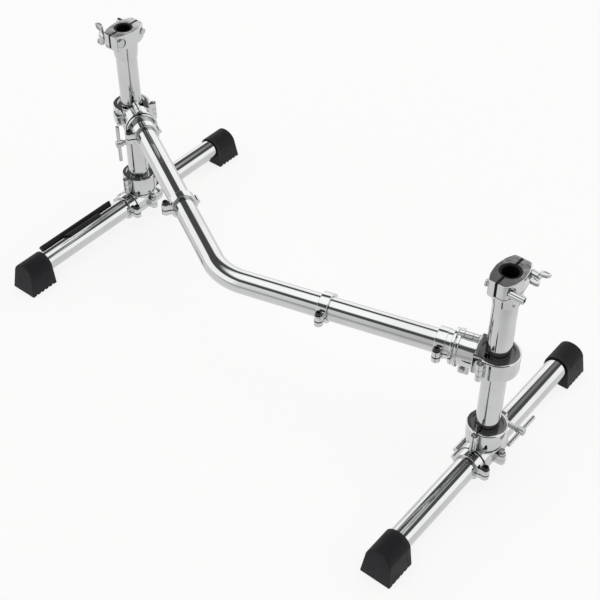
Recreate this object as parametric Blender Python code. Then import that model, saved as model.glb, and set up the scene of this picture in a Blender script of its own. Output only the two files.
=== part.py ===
"""Low two-post drum rack: bent crossbar, two posts, two floor legs and their clamps.

Metres, +Z up. The floor is Z = 0 and the origin is the middle of the footprint.
Each clamp, collar and foot is built once in its own frame and placed by empties.
"""

import math

import bmesh
import bpy
from mathutils import Matrix

MM = 0.001

# Tubing and fits
TUBE_RADIUS = 19.05 * MM
TUBE_WALL = 2.0 * MM
BORE_RADIUS = 19.4 * MM
GAP = 0.3 * MM
SPLIT = 1.2 * MM

# Working values: how far a cut runs past a face, how far joined shapes reach into each other,
# and the reach of a cut that takes away a whole side
OVER = 1.0 * MM
BITE = 4.0 * MM
FAR = 60.0 * MM
ABOVE = 500.0 * MM
ROUND_SIDES = 28
SMALL_SIDES = 12
SMALL_RADIUS = 10.0 * MM
WELD = 0.01 * MM

# Layout: the right post carries the long straight of the crossbar, which runs along -X
RIGHT_POST_X = 405.87 * MM
RIGHT_POST_Y = -157.26 * MM
BAR_HEIGHT = 234.0 * MM
BAR_RIGHT_ARM = 450.0 * MM
BAR_LEFT_ARM = 493.6 * MM
BAR_BEND = math.radians(44.25)
BAR_BEND_RADIUS = 95.0 * MM
BAR_BEND_STEPS = 8
BAR_END = 31.0 * MM
LEG_HEIGHT = 34.0 * MM
LEG_TURN = math.radians(74.7)
LEG_TUBE_LENGTH = 538.0 * MM
LEG_SHIFT = {"right": -3.0 * MM, "left": -28.0 * MM}
POST_BOTTOM = 55.0 * MM
POST_TOP = 368.0 * MM

# Rubber feet
FOOT_LENGTH = 56.0 * MM
FOOT_TOP_LENGTH = 48.0 * MM
FOOT_DEPTH = 43.0 * MM
FOOT_HALF_WIDTH = 26.8 * MM
FOOT_ARCH_RADIUS = 22.8 * MM
FOOT_ARCH_STEPS = 12
FOOT_GROOVES = 5
FOOT_GROOVE_DEPTH = 2.5 * MM

# Hinges and screws of the clamps
KNUCKLE_RADIUS = 5.5 * MM
PIN_RADIUS = 2.2 * MM
SCREW_RADIUS = 4.0 * MM
SCREW_PLAY = 0.6 * MM
SCREW_SPOT_RADIUS = 9.0 * MM
EAR_THICK = 10.0 * MM

# Leg clamp: a ring round the post, hinged at one end and closed by a screw through two ears
COLUMN_RADIUS = 27.0 * MM
COLUMN_LOW = 42.0 * MM
RING_RADIUS = 32.0 * MM
RING_LOW = 64.0 * MM
RING_HIGH = 94.5 * MM
RING_RECESS_RADIUS = 27.0 * MM
RECESS_DEPTH = 5.0 * MM
HINGE_REACH = 36.0 * MM
EAR_REACH = 46.0 * MM
EAR_HIGH = 84.0 * MM
SCREW_REACH = 35.0 * MM
SCREW_HEIGHT = 73.0 * MM

# Leg clamp: a sleeve on the leg, hinged on one side and bolted on the other
SLEEVE_RADIUS = 26.0 * MM
SLEEVE_HALF = 33.0 * MM
SLEEVE_HINGE = 30.0 * MM
GRIP_KNUCKLE_HALF = 12.0 * MM
GRIP_WEB = 4.5 * MM
GRIP_EAR_ROOT = 20.0 * MM
GRIP_EAR_HALF = 7.0 * MM
GRIP_EAR_RISE = 9.0 * MM
GRIP_EAR_DROP = 10.0 * MM
GRIP_BOLT_REACH = 33.0 * MM
GRIP_BOLT_DROP = 13.0 * MM
GRIP_BOLT_RADIUS = 3.0 * MM
GRIP_HOLE_RADIUS = 3.4 * MM
GRIP_JAW_HOLE_RADIUS = 4.2 * MM

# Crossbar clamp, measured from its post along the crossbar: the ring round the post
STRAP_RADIUS = 34.0 * MM
STRAP_HALF = 17.0 * MM
STRAP_EDGE = 16.0 * MM
STRAP_RECESS_RADIUS = 28.0 * MM
STRAP_HINGE = (16.0 * MM, 36.0 * MM)
STRAP_WEB_ROOT = 26.0 * MM
STRAP_BOLT_REACH = 33.5 * MM
STRAP_BOLT_RADIUS = 2.2 * MM
STRAP_BOLT_SEAT = 28.0 * MM
STRAP_BOLT_TIP = 6.0 * MM
STRAP_EAR_START = 4.0 * MM
STRAP_EAR_REACH = 37.5 * MM
STRAP_EAR_ROOT = 20.0 * MM
STRAP_EAR_HALF = 9.0 * MM
BLOCK_START = 10.0 * MM
BLOCK_END = 31.5 * MM
BLOCK_HALF_WIDTH = 27.0 * MM
BLOCK_HALF_HEIGHT = 16.8 * MM

# Crossbar clamp: the socket on the crossbar
SOCKET_START = 31.0 * MM
SOCKET_ROOT = 29.0 * MM
SOCKET_END = 60.0 * MM
SOCKET_KNUCKLE_START = 38.0 * MM
SOCKET_KNUCKLE_END = 52.0 * MM
SOCKET_EAR_START = 38.0 * MM
SOCKET_EAR_END = 55.0 * MM
SOCKET_EAR_DROP = 43.0 * MM
SOCKET_WEB_ROOT = 20.0 * MM
FLANGE_RADIUS = 30.0 * MM
FLANGE_START = 55.5 * MM
BAR_SCREW_ALONG = 48.0 * MM
BAR_SCREW_DROP = 33.5 * MM

# Bolts with a round head and a square key end, as multiples of the shank's radius
KEY_HEAD_RATIO = 1.8
KEY_SQUARE_RATIO = 1.05
KEY_HEAD_HIGH = 4.5 * MM
KEY_SQUARE_LOW = 4.0 * MM
KEY_SQUARE_HIGH = 11.0 * MM

# T-handle, measured along its screw from the tip
HANDLE_FLANGE_AT = 24.4 * MM
HANDLE_FLANGE_RADIUS = 8.0 * MM
HANDLE_FLANGE_THICK = 3.0 * MM
HANDLE_HUB_AT = 56.0 * MM
HANDLE_HUB_RADIUS = 6.4 * MM
HANDLE_HUB_HALF = 6.5 * MM
HANDLE_ROD_RADIUS = 3.3 * MM
HANDLE_ROD_LENGTH = 76.0 * MM
HANDLE_TIP = 14.0 * MM
HANDLE_TURN = {"right_leg": 0.0, "left_leg": 90.0, "right_bar": 0.0, "left_bar": 90.0}

# Split collars on the crossbar and the legs
COLLAR_RADIUS = 24.0 * MM
COLLAR_HALF = 8.0 * MM
COLLAR_LUG_ROOT = 18.0 * MM
COLLAR_LUG_HALF_WIDTH = 7.0 * MM
COLLAR_LUG_HALF_HEIGHT = 10.0 * MM
COLLAR_BOLT_REACH = 30.0 * MM
COLLAR_HOLE_RADIUS = 3.4 * MM
COLLAR_SLIT_START = 15.0 * MM
COLLAR_BEAD_RADIUS = 4.0 * MM
COLLAR_BEAD_REACH = 24.5 * MM
COLLAR_BEAD_RISE = 4.0 * MM
COLLAR_FLANGE_RADIUS = 29.0 * MM
COLLAR_FLANGE_THICK = 4.5 * MM
CAP_BOLT_RADIUS = 3.0 * MM
CAP_BOLT_DROP = 13.0 * MM
CAP_HEAD_RADIUS = 5.0 * MM
CAP_HEAD_THICK = 5.5 * MM
CAP_SOCKET_RADIUS = 2.5 * MM
CAP_SOCKET_DEPTH = 3.0 * MM
KEYED_COLLAR_AT = 84.0 * MM
KEYED_COLLAR_SLEEVE = 13.0 * MM
FREE_COLLAR_AT = {"right": 271.0 * MM, "left": 301.0 * MM}
LEG_COLLAR_AT = -42.0 * MM

# Top clamp: a flared neck on the post and two jaws round a plastic bushing
NECK_RADIUS = 20.6 * MM
NECK_TOP_RADIUS = 23.8 * MM
NECK_LOW = 350.0 * MM
NECK_SLIT_HIGH = 366.0 * MM
NECK_SLIT_HALF = 1.0 * MM
NECK_SLIT_START = 15.0 * MM
HEAD_LOW = 377.0 * MM
JAW_LOW = 381.0 * MM
JAW_HIGH = 405.0 * MM
JAW_HALF_LENGTH = 35.0 * MM
JAW_HALF_END = 14.0 * MM
JAW_HALF_WIDTH = 24.0 * MM
JAW_SHOULDER = (20.0 * MM, 21.0 * MM)
JAW_GAP_LOW = -1.2 * MM
JAW_GAP_HIGH = 3.2 * MM
BUSHING_RADIUS = 16.5 * MM
BUSHING_FIN_ROOT = 14.0 * MM
BUSHING_FIN_REACH = 34.0 * MM
ARM_BORE_RADIUS = 12.7 * MM
JAW_BOLT_HEIGHT = 392.0 * MM
WING_REACH = 26.0 * MM
KEY_REACH = -27.0 * MM
JAW_SEAT = 17.3 * MM
SPOT_RADIUS = 9.5 * MM

# Bolts and nuts of the top clamp
BOLT_PLAY = 0.2 * MM
NUT_PLAY = 0.1 * MM
WING_BOLT_HEAD_RADIUS = 7.5 * MM
WING_BOLT_HEAD = 4.0 * MM
WING_BOLT_PAST_SEAT = 16.0 * MM
KEY_BOLT_HEAD_RADIUS = 6.0 * MM
KEY_BOLT_HEAD = 3.5 * MM
KEY_BOLT_PAST_SEAT = 12.0 * MM
WING_HUB_RADIUS = 8.0 * MM
WING_HUB_HIGH = 13.0 * MM
WING_HALF_THICK = 2.4 * MM
WING_OUTLINE = ((7, 7), (18, 8), (21, 11), (21, 21), (18, 24), (10, 21), (6, 12))
WING_TURN = {"right": 12.0, "left": 90.0}
KEY_NUT_RADIUS = 6.0 * MM
KEY_NUT_LENGTH = 23.0 * MM
KEY_NUT_THREAD = 14.0 * MM
KEY_NUT_SOCKET_LOW = 16.0 * MM
KEY_NUT_SOCKET_HALF = 3.0 * MM

# Cable clip on the left leg, in degrees round the tube from its far side over the top
CLIP_RAIL = (28.0, 58.0)
CLIP_FLAP = (50.0, 98.0)
CLIP_HOOK = (-60.0, 34.0)
CLIP_STEP = 12.0
CLIP_RAIL_SPAN = (-243.0 * MM, -70.0 * MM)
CLIP_FLAP_SPAN = (-201.0 * MM, -109.0 * MM)
CLIP_INNER = 19.4 * MM
CLIP_SKIN = 22.4 * MM
CLIP_RAIL_OUTER = 27.5 * MM
CLIP_SLANT = 38.0
CLIP_SLANT_SIDE = 14.0 * MM
CLIP_SLANT_LENGTH = 40.0 * MM

# Finishes: colour, roughness and metallic value
CHROME = ((0.80, 0.80, 0.81), 0.08, 1.0)
BRIGHT_STEEL = ((0.55, 0.55, 0.56), 0.25, 1.0)
DARK_STEEL = ((0.05, 0.05, 0.055), 0.35, 1.0)
RUBBER = ((0.03, 0.03, 0.032), 0.7, 0.0)
BLACK_PLASTIC = ((0.02, 0.02, 0.022), 0.45, 0.0)
SHARP_ANGLE = math.radians(35.0)

QUARTER = math.radians(90.0)
TURN_TO_X = Matrix.Rotation(QUARTER, 4, "Y")
TURN_TO_Y = Matrix.Rotation(-QUARTER, 4, "X")
STAND_ALONG_X = Matrix(((0, 0, 1, 0), (1, 0, 0, 0), (0, 1, 0, 0), (0, 0, 0, 1)))


def clear_scene():
    for obj in list(bpy.data.objects):
        bpy.data.objects.remove(obj, do_unlink=True)


def make_material(name, finish):
    colour, roughness, metallic = finish
    material = bpy.data.materials.new(name)
    material.use_nodes = True
    shader = material.node_tree.nodes["Principled BSDF"]
    shader.inputs["Base Color"].default_value = (*colour, 1.0)
    shader.inputs["Roughness"].default_value = roughness
    shader.inputs["Metallic"].default_value = metallic
    return material


def helper(mesh, matrix=None):
    """A working object that is used up by combine()."""
    obj = bpy.data.objects.new("helper", mesh)
    bpy.context.scene.collection.objects.link(obj)
    if matrix is not None:
        mesh.transform(matrix)
    return obj


def box(low, high):
    """A box between two corners."""
    shape = bmesh.new()
    bmesh.ops.create_cube(shape, size=1.0)
    mesh = bpy.data.meshes.new("box")
    shape.to_mesh(mesh)
    shape.free()
    size = [b - a for a, b in zip(low, high)]
    middle = [(a + b) / 2 for a, b in zip(low, high)]
    return helper(mesh, Matrix.Translation(middle) @ Matrix.Diagonal((*size, 1.0)))


def rod(radius, start, end, axis="Z", at=(0.0, 0.0), top_radius=None, sides=None):
    """A cylinder or cone along an axis; at holds its place on the two other axes, in X, Y, Z order."""
    shape = bmesh.new()
    if sides is None:
        sides = ROUND_SIDES if radius > SMALL_RADIUS else SMALL_SIDES
    bmesh.ops.create_cone(
        shape,
        cap_ends=True,
        segments=sides,
        radius1=radius,
        radius2=radius if top_radius is None else top_radius,
        depth=end - start,
    )
    mesh = bpy.data.meshes.new("rod")
    shape.to_mesh(mesh)
    shape.free()
    matrix = Matrix.Translation((0.0, 0.0, (start + end) / 2))
    if axis == "X":
        matrix = Matrix.Translation((0.0, at[0], at[1])) @ TURN_TO_X @ matrix
    elif axis == "Y":
        matrix = Matrix.Translation((at[0], 0.0, at[1])) @ TURN_TO_Y @ matrix
    else:
        matrix = Matrix.Translation((at[0], at[1], 0.0)) @ matrix
    return helper(mesh, matrix)


def from_curve(curve, matrix=None):
    """The curve's mesh, with its caps welded."""
    source = bpy.data.objects.new("curve", curve)
    bpy.context.scene.collection.objects.link(source)
    graph = bpy.context.evaluated_depsgraph_get()
    mesh = bpy.data.meshes.new_from_object(source.evaluated_get(graph))
    bpy.data.objects.remove(source, do_unlink=True)
    shape = bmesh.new()
    shape.from_mesh(mesh)
    bmesh.ops.remove_doubles(shape, verts=shape.verts, dist=WELD / 10)
    bmesh.ops.recalc_face_normals(shape, faces=shape.faces)
    shape.to_mesh(mesh)
    shape.free()
    return helper(mesh, matrix)


def plate(outline, low, high):
    """A flat outline in X and Y, made as a filled curve between two heights."""
    curve = bpy.data.curves.new("outline", "CURVE")
    curve.dimensions = "2D"
    curve.fill_mode = "BOTH"
    curve.extrude = (high - low) / 2
    spline = curve.splines.new("POLY")
    spline.points.add(len(outline) - 1)
    for point, (x, y) in zip(spline.points, outline):
        point.co = (x, y, 0.0, 1.0)
    spline.use_cyclic_u = True
    return from_curve(curve, Matrix.Translation((0.0, 0.0, (low + high) / 2)))


def arc(radius, start, end, steps, middle=(0.0, 0.0)):
    """Points of an arc between two angles in radians."""
    angles = [start + (end - start) * step / steps for step in range(steps + 1)]
    return [(middle[0] + radius * math.cos(a), middle[1] + radius * math.sin(a)) for a in angles]


def tongue(half_width, root, reach, low, high, side=1):
    """A flat ear along Y with a round end; reach is the middle of the round and side its direction."""
    outline = [(half_width, root), *arc(half_width, 0.0, math.pi, 8, (0.0, reach)), (-half_width, root)]
    return plate([(x, side * y) for x, y in outline], low, high)


def combine(base, *steps):
    """Joins ('+') and cuts ('-') helpers from the base in order, and bakes the result."""
    for number, (sign, tool) in enumerate(steps):
        modifier = base.modifiers.new(f"step_{number}", "BOOLEAN")
        modifier.operation = "UNION" if sign == "+" else "DIFFERENCE"
        modifier.solver = "EXACT"
        modifier.object = tool
    graph = bpy.context.evaluated_depsgraph_get()
    graph.update()
    mesh = bpy.data.meshes.new_from_object(base.evaluated_get(graph))
    for used in {base} | {tool for _, tool in steps}:
        bpy.data.objects.remove(used, do_unlink=True)
    shape = bmesh.new()
    shape.from_mesh(mesh)
    bmesh.ops.remove_doubles(shape, verts=shape.verts, dist=WELD)
    bmesh.ops.dissolve_degenerate(shape, edges=shape.edges, dist=WELD)
    shape.to_mesh(mesh)
    shape.free()
    return helper(mesh)


def take_mesh(obj, name):
    """The helper's mesh as a finished, smooth-shaded prototype."""
    mesh = obj.data
    mesh.name = name
    bpy.data.objects.remove(obj, do_unlink=True)
    mesh.shade_smooth()
    mesh.set_sharp_from_angle(angle=SHARP_ANGLE)
    return mesh


class Rack:
    """Places prototypes as named objects under empties."""

    def __init__(self):
        self.parts = bpy.data.collections.new("drum_rack")
        bpy.context.scene.collection.children.link(self.parts)
        self.chrome = make_material("chrome", CHROME)
        self.steel = make_material("bright_steel", BRIGHT_STEEL)
        self.dark_steel = make_material("dark_steel", DARK_STEEL)
        self.rubber = make_material("rubber", RUBBER)
        self.plastic = make_material("black_plastic", BLACK_PLASTIC)

    def empty(self, name, parent=None, location=(0.0, 0.0, 0.0), turn=0.0):
        """An empty at a place in its parent's frame, turned about Z by an angle in radians."""
        marker = bpy.data.objects.new(name, None)
        self.parts.objects.link(marker)
        marker.parent = parent
        marker.location = location
        marker.rotation_euler = (0.0, 0.0, turn)
        return marker

    def add(self, name, mesh, material, parent, location=(0.0, 0.0, 0.0), rotation=(0.0, 0.0, 0.0)):
        """One named part that shows a prototype mesh."""
        if not mesh.materials:
            mesh.materials.append(material)
        obj = bpy.data.objects.new(name, mesh)
        self.parts.objects.link(obj)
        obj.parent = parent
        obj.location = location
        obj.rotation_euler = rotation
        return obj


def tube(length):
    """A hollow tube along X, centred."""
    half = length / 2
    outer = rod(TUBE_RADIUS, -half, half, "X")
    inner = rod(TUBE_RADIUS - TUBE_WALL, -half - OVER, half + OVER, "X")
    return take_mesh(combine(outer, ("-", inner)), "tube")


def bar_route(extra):
    """The crossbar's middle line in the right post's frame, run past its ends by extra."""
    tangent = BAR_BEND_RADIUS * math.tan(BAR_BEND / 2)
    bend_middle = (-(BAR_RIGHT_ARM - tangent), BAR_BEND_RADIUS)
    heading = math.pi - BAR_BEND
    reach = BAR_LEFT_ARM - BAR_END + extra
    start = (-BAR_END + extra, 0.0)
    end = (-BAR_RIGHT_ARM + math.cos(heading) * reach, math.sin(heading) * reach)
    bend = arc(BAR_BEND_RADIUS, -QUARTER, -QUARTER - BAR_BEND, BAR_BEND_STEPS, bend_middle)
    return [start, *bend, end]


def bar_sweep(radius, extra):
    """A solid round bar along the crossbar's middle line."""
    curve = bpy.data.curves.new("sweep", "CURVE")
    curve.dimensions = "3D"
    curve.bevel_depth = radius
    curve.bevel_resolution = (ROUND_SIDES - 4) // 2
    curve.use_fill_caps = True
    points = bar_route(extra)
    spline = curve.splines.new("POLY")
    spline.points.add(len(points) - 1)
    for point, (x, y) in zip(spline.points, points):
        point.co = (x, y, 0.0, 1.0)
    return from_curve(curve)


def crossbar():
    """The bent tube from the right clamp to the left one."""
    outer = bar_sweep(TUBE_RADIUS, 0.0)
    inner = bar_sweep(TUBE_RADIUS - TUBE_WALL, OVER)
    return take_mesh(combine(outer, ("-", inner)), "crossbar")


def foot():
    """A rubber foot: its inner face is at X = 0 and its toe points along +X."""
    arch = arc(FOOT_ARCH_RADIUS, 0.0, math.pi, FOOT_ARCH_STEPS, (0.0, LEG_HEIGHT))
    body = plate([(-FOOT_HALF_WIDTH, 0.0), (FOOT_HALF_WIDTH, 0.0), *arch], 0.0, FOOT_LENGTH)
    body.data.transform(STAND_ALONG_X)
    lean = math.atan2(FOOT_LENGTH - FOOT_TOP_LENGTH, LEG_HEIGHT + FOOT_ARCH_RADIUS)
    toe_cut = box((0.0, -FAR, -FOOT_LENGTH), (FOOT_LENGTH, FAR, 2 * FOOT_LENGTH))
    toe_cut.data.transform(Matrix.Translation((FOOT_LENGTH, 0.0, 0.0)) @ Matrix.Rotation(-lean, 4, "Y"))
    socket = rod(BORE_RADIUS, -OVER, FOOT_DEPTH + GAP, "X", (0.0, LEG_HEIGHT))
    cuts = [("-", toe_cut), ("-", socket)]
    pitch = FOOT_LENGTH / (FOOT_GROOVES + 1)
    side = (FOOT_GROOVE_DEPTH + OVER) / math.sqrt(2)
    for number in range(FOOT_GROOVES):
        groove = box((-side, -FAR, -side), (side, FAR, side))
        place = Matrix.Translation((pitch * (number + 1), 0.0, -OVER))
        groove.data.transform(place @ Matrix.Rotation(QUARTER / 2, 4, "Y"))
        cuts.append(("-", groove))
    return take_mesh(combine(body, *cuts), "foot")


def thirds(low, high):
    """Heights of the lower, middle and upper knuckles of a hinge."""
    third = (high - low) / 3
    return [(low + third * n, low + third * (n + 1)) for n in range(3)]


def post_ring_jaw():
    """The moving half of the leg clamp's ring, on +Y, hinged at +X and screwed at -X."""
    low, middle, high = thirds(RING_LOW, RING_HIGH)
    hinge_at = (HINGE_REACH, 0.0)
    web_low = (RING_RADIUS - BITE, 2 * SPLIT, middle[0] + 2 * GAP)
    web_high = (HINGE_REACH, KNUCKLE_RADIUS, middle[1] - 2 * GAP)
    steps = [
        ("+", box((-EAR_REACH, 0.0, RING_LOW + GAP), (-RING_RADIUS + BITE, EAR_THICK + GAP, EAR_HIGH))),
        ("-", rod(BORE_RADIUS, RING_LOW - OVER, RING_HIGH + OVER)),
        ("-", rod(RING_RECESS_RADIUS, RING_HIGH - RECESS_DEPTH, RING_HIGH + OVER)),
        ("-", box((-FAR, -FAR, 0.0), (FAR, SPLIT, 2 * FAR))),
        ("-", rod(KNUCKLE_RADIUS + GAP, low[0] - OVER, low[1] + GAP, at=hinge_at)),
        ("-", rod(KNUCKLE_RADIUS + GAP, high[0] - GAP, high[1] + OVER, at=hinge_at)),
        ("+", box(web_low, web_high)),
        ("+", rod(KNUCKLE_RADIUS, middle[0] + GAP, middle[1] - GAP, at=hinge_at)),
        ("-", rod(PIN_RADIUS + GAP, RING_LOW, RING_HIGH, at=hinge_at)),
        ("-", rod(SCREW_RADIUS + GAP, 0.0, FAR, "Y", (-SCREW_REACH, SCREW_HEIGHT))),
        ("-", rod(SCREW_SPOT_RADIUS, EAR_THICK, FAR, "Y", (-SCREW_REACH, SCREW_HEIGHT))),
    ]
    return take_mesh(combine(rod(RING_RADIUS, RING_LOW, RING_HIGH), *steps), "post_ring_jaw")


def leg_clamp_body():
    """The leg clamp's casting: half of the post ring over a saddle on the leg, in the jaw's frame."""
    low, middle, high = thirds(RING_LOW, RING_HIGH)
    ring_at = (HINGE_REACH, 0.0)
    grip_at = (-SLEEVE_HINGE, LEG_HEIGHT)
    web_low = (RING_RADIUS - BITE, -KNUCKLE_RADIUS, RING_LOW + GAP)
    grip_web_low = (-SLEEVE_HALF, -SLEEVE_HINGE, LEG_HEIGHT)
    grip_web_high = (SLEEVE_HALF, -SLEEVE_RADIUS + BITE, LEG_HEIGHT + GRIP_WEB)
    ear_low = (-EAR_REACH, -EAR_THICK, RING_LOW + GAP)
    grip_ear = tongue(GRIP_EAR_HALF, GRIP_EAR_ROOT, GRIP_BOLT_REACH, LEG_HEIGHT, LEG_HEIGHT + GRIP_EAR_RISE)
    steps = [
        ("+", rod(COLUMN_RADIUS, COLUMN_LOW, RING_LOW + BITE)),
        ("+", rod(RING_RADIUS, RING_LOW, RING_HIGH)),
        ("+", box(ear_low, (-RING_RADIUS + BITE, 0.0, EAR_HIGH))),
        ("+", box(web_low, (HINGE_REACH, 0.0, RING_HIGH - GAP))),
        ("+", grip_ear),
        ("+", box(grip_web_low, grip_web_high)),
        ("-", rod(BORE_RADIUS, POST_BOTTOM - GAP, RING_HIGH + OVER)),
        ("-", rod(RING_RECESS_RADIUS, RING_HIGH - RECESS_DEPTH, RING_HIGH + OVER)),
        ("-", box((-FAR, -SPLIT, RING_LOW - GAP), (FAR, FAR, 2 * FAR))),
        ("-", box((-FAR, -FAR, -OVER), (FAR, FAR, LEG_HEIGHT + GAP))),
        ("-", rod(BORE_RADIUS, -FAR, FAR, "X", (0.0, LEG_HEIGHT))),
        ("+", rod(KNUCKLE_RADIUS, low[0] + GAP, low[1], at=ring_at)),
        ("+", rod(KNUCKLE_RADIUS, high[0], high[1] + GAP, at=ring_at)),
        ("-", rod(KNUCKLE_RADIUS + GAP, middle[0], middle[1], at=ring_at)),
        ("+", rod(PIN_RADIUS, RING_LOW + OVER, RING_HIGH - OVER, at=ring_at)),
        ("+", rod(KNUCKLE_RADIUS, -SLEEVE_HALF + GAP, -GRIP_KNUCKLE_HALF, "X", grip_at)),
        ("+", rod(KNUCKLE_RADIUS, GRIP_KNUCKLE_HALF, SLEEVE_HALF - GAP, "X", grip_at)),
        ("-", rod(KNUCKLE_RADIUS + GAP, -GRIP_KNUCKLE_HALF, GRIP_KNUCKLE_HALF, "X", grip_at)),
        ("+", rod(PIN_RADIUS, -SLEEVE_HALF + OVER, SLEEVE_HALF - OVER, "X", grip_at)),
        ("-", rod(SCREW_RADIUS + SCREW_PLAY, -FAR, 0.0, "Y", (-SCREW_REACH, SCREW_HEIGHT))),
        ("-", rod(GRIP_HOLE_RADIUS, LEG_HEIGHT - OVER, COLUMN_LOW + BITE, at=(0.0, GRIP_BOLT_REACH))),
    ]
    saddle = rod(SLEEVE_RADIUS, -SLEEVE_HALF, SLEEVE_HALF, "X", (0.0, LEG_HEIGHT))
    return take_mesh(combine(saddle, *steps), "leg_clamp_body")


def leg_grip_jaw():
    """The lower half of the sleeve on the leg, hinged at -Y and bolted at +Y."""
    hinge_at = (-SLEEVE_HINGE, LEG_HEIGHT)
    web_low = (-GRIP_KNUCKLE_HALF + OVER, -SLEEVE_HINGE, LEG_HEIGHT - GRIP_WEB)
    web_high = (GRIP_KNUCKLE_HALF - OVER, -SLEEVE_RADIUS + BITE, LEG_HEIGHT)
    ear = tongue(GRIP_EAR_HALF, GRIP_EAR_ROOT, GRIP_BOLT_REACH, LEG_HEIGHT - GRIP_EAR_DROP, LEG_HEIGHT)
    steps = [
        ("+", ear),
        ("+", box(web_low, web_high)),
        ("-", box((-FAR, -FAR, LEG_HEIGHT - GAP), (FAR, FAR, 2 * FAR))),
        ("-", rod(BORE_RADIUS, -FAR, FAR, "X", (0.0, LEG_HEIGHT))),
        ("-", rod(KNUCKLE_RADIUS + GAP, -FAR, -GRIP_KNUCKLE_HALF + GAP, "X", hinge_at)),
        ("-", rod(KNUCKLE_RADIUS + GAP, GRIP_KNUCKLE_HALF - GAP, FAR, "X", hinge_at)),
        ("+", rod(KNUCKLE_RADIUS, -GRIP_KNUCKLE_HALF + 2 * GAP, GRIP_KNUCKLE_HALF - 2 * GAP, "X", hinge_at)),
        ("-", rod(PIN_RADIUS + GAP, -SLEEVE_HALF, SLEEVE_HALF, "X", hinge_at)),
        ("-", rod(GRIP_JAW_HOLE_RADIUS, 0.0, LEG_HEIGHT + OVER, at=(0.0, GRIP_BOLT_REACH))),
    ]
    sleeve = rod(SLEEVE_RADIUS, -SLEEVE_HALF, SLEEVE_HALF, "X", (0.0, LEG_HEIGHT))
    return take_mesh(combine(sleeve, *steps), "leg_grip_jaw")


def key_bolt(tip, seat, radius):
    """A bolt on Z with a round head and a square key end, from its tip up to the head's seat."""
    square = KEY_SQUARE_RATIO * radius
    shank = rod(radius, tip, seat + OVER)
    head = rod(KEY_HEAD_RATIO * radius, seat + GAP, seat + KEY_HEAD_HIGH)
    key = box((-square, -square, seat + KEY_SQUARE_LOW), (square, square, seat + KEY_SQUARE_HIGH))
    return take_mesh(combine(shank, ("+", head), ("+", key)), "key_bolt")


def cap_bolt():
    """The bolt of a split collar on Z: a round head with a six-sided socket, over the lug."""
    seat = COLLAR_LUG_HALF_HEIGHT
    top = seat + CAP_HEAD_THICK
    steps = [
        ("+", rod(CAP_HEAD_RADIUS, seat + GAP, top)),
        ("-", rod(CAP_SOCKET_RADIUS, top - CAP_SOCKET_DEPTH, top + OVER, sides=6)),
    ]
    return take_mesh(combine(rod(CAP_BOLT_RADIUS, -CAP_BOLT_DROP, seat + OVER), *steps), "cap_bolt")


def handle():
    """A T-handle whose screw runs from its tip at Z = 0 up to the hub."""
    half = HANDLE_ROD_LENGTH / 2
    flange_top = HANDLE_FLANGE_AT + HANDLE_FLANGE_THICK
    steps = [
        ("+", rod(HANDLE_FLANGE_RADIUS, HANDLE_FLANGE_AT, flange_top)),
        ("+", rod(HANDLE_HUB_RADIUS, HANDLE_HUB_AT - HANDLE_HUB_HALF, HANDLE_HUB_AT + HANDLE_HUB_HALF)),
        ("+", rod(HANDLE_ROD_RADIUS, -half, half, "X", (0.0, HANDLE_HUB_AT))),
    ]
    return take_mesh(combine(rod(SCREW_RADIUS, 0.0, HANDLE_HUB_AT), *steps), "t_handle")


def strap_recess(side):
    """The sunken ring round the post, in the top (1) or the underside (-1) of the clamp."""
    start, end = sorted((side * (STRAP_HALF - RECESS_DEPTH), side * (STRAP_HALF + OVER)))
    return rod(STRAP_RECESS_RADIUS, start, end)


def strap_bolt_hole():
    """The hole for the bolt through the strap's ear and the casting's ear."""
    return rod(STRAP_BOLT_RADIUS + 2 * GAP, 0.0, FAR, "X", (-STRAP_BOLT_REACH, 0.0))


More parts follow.
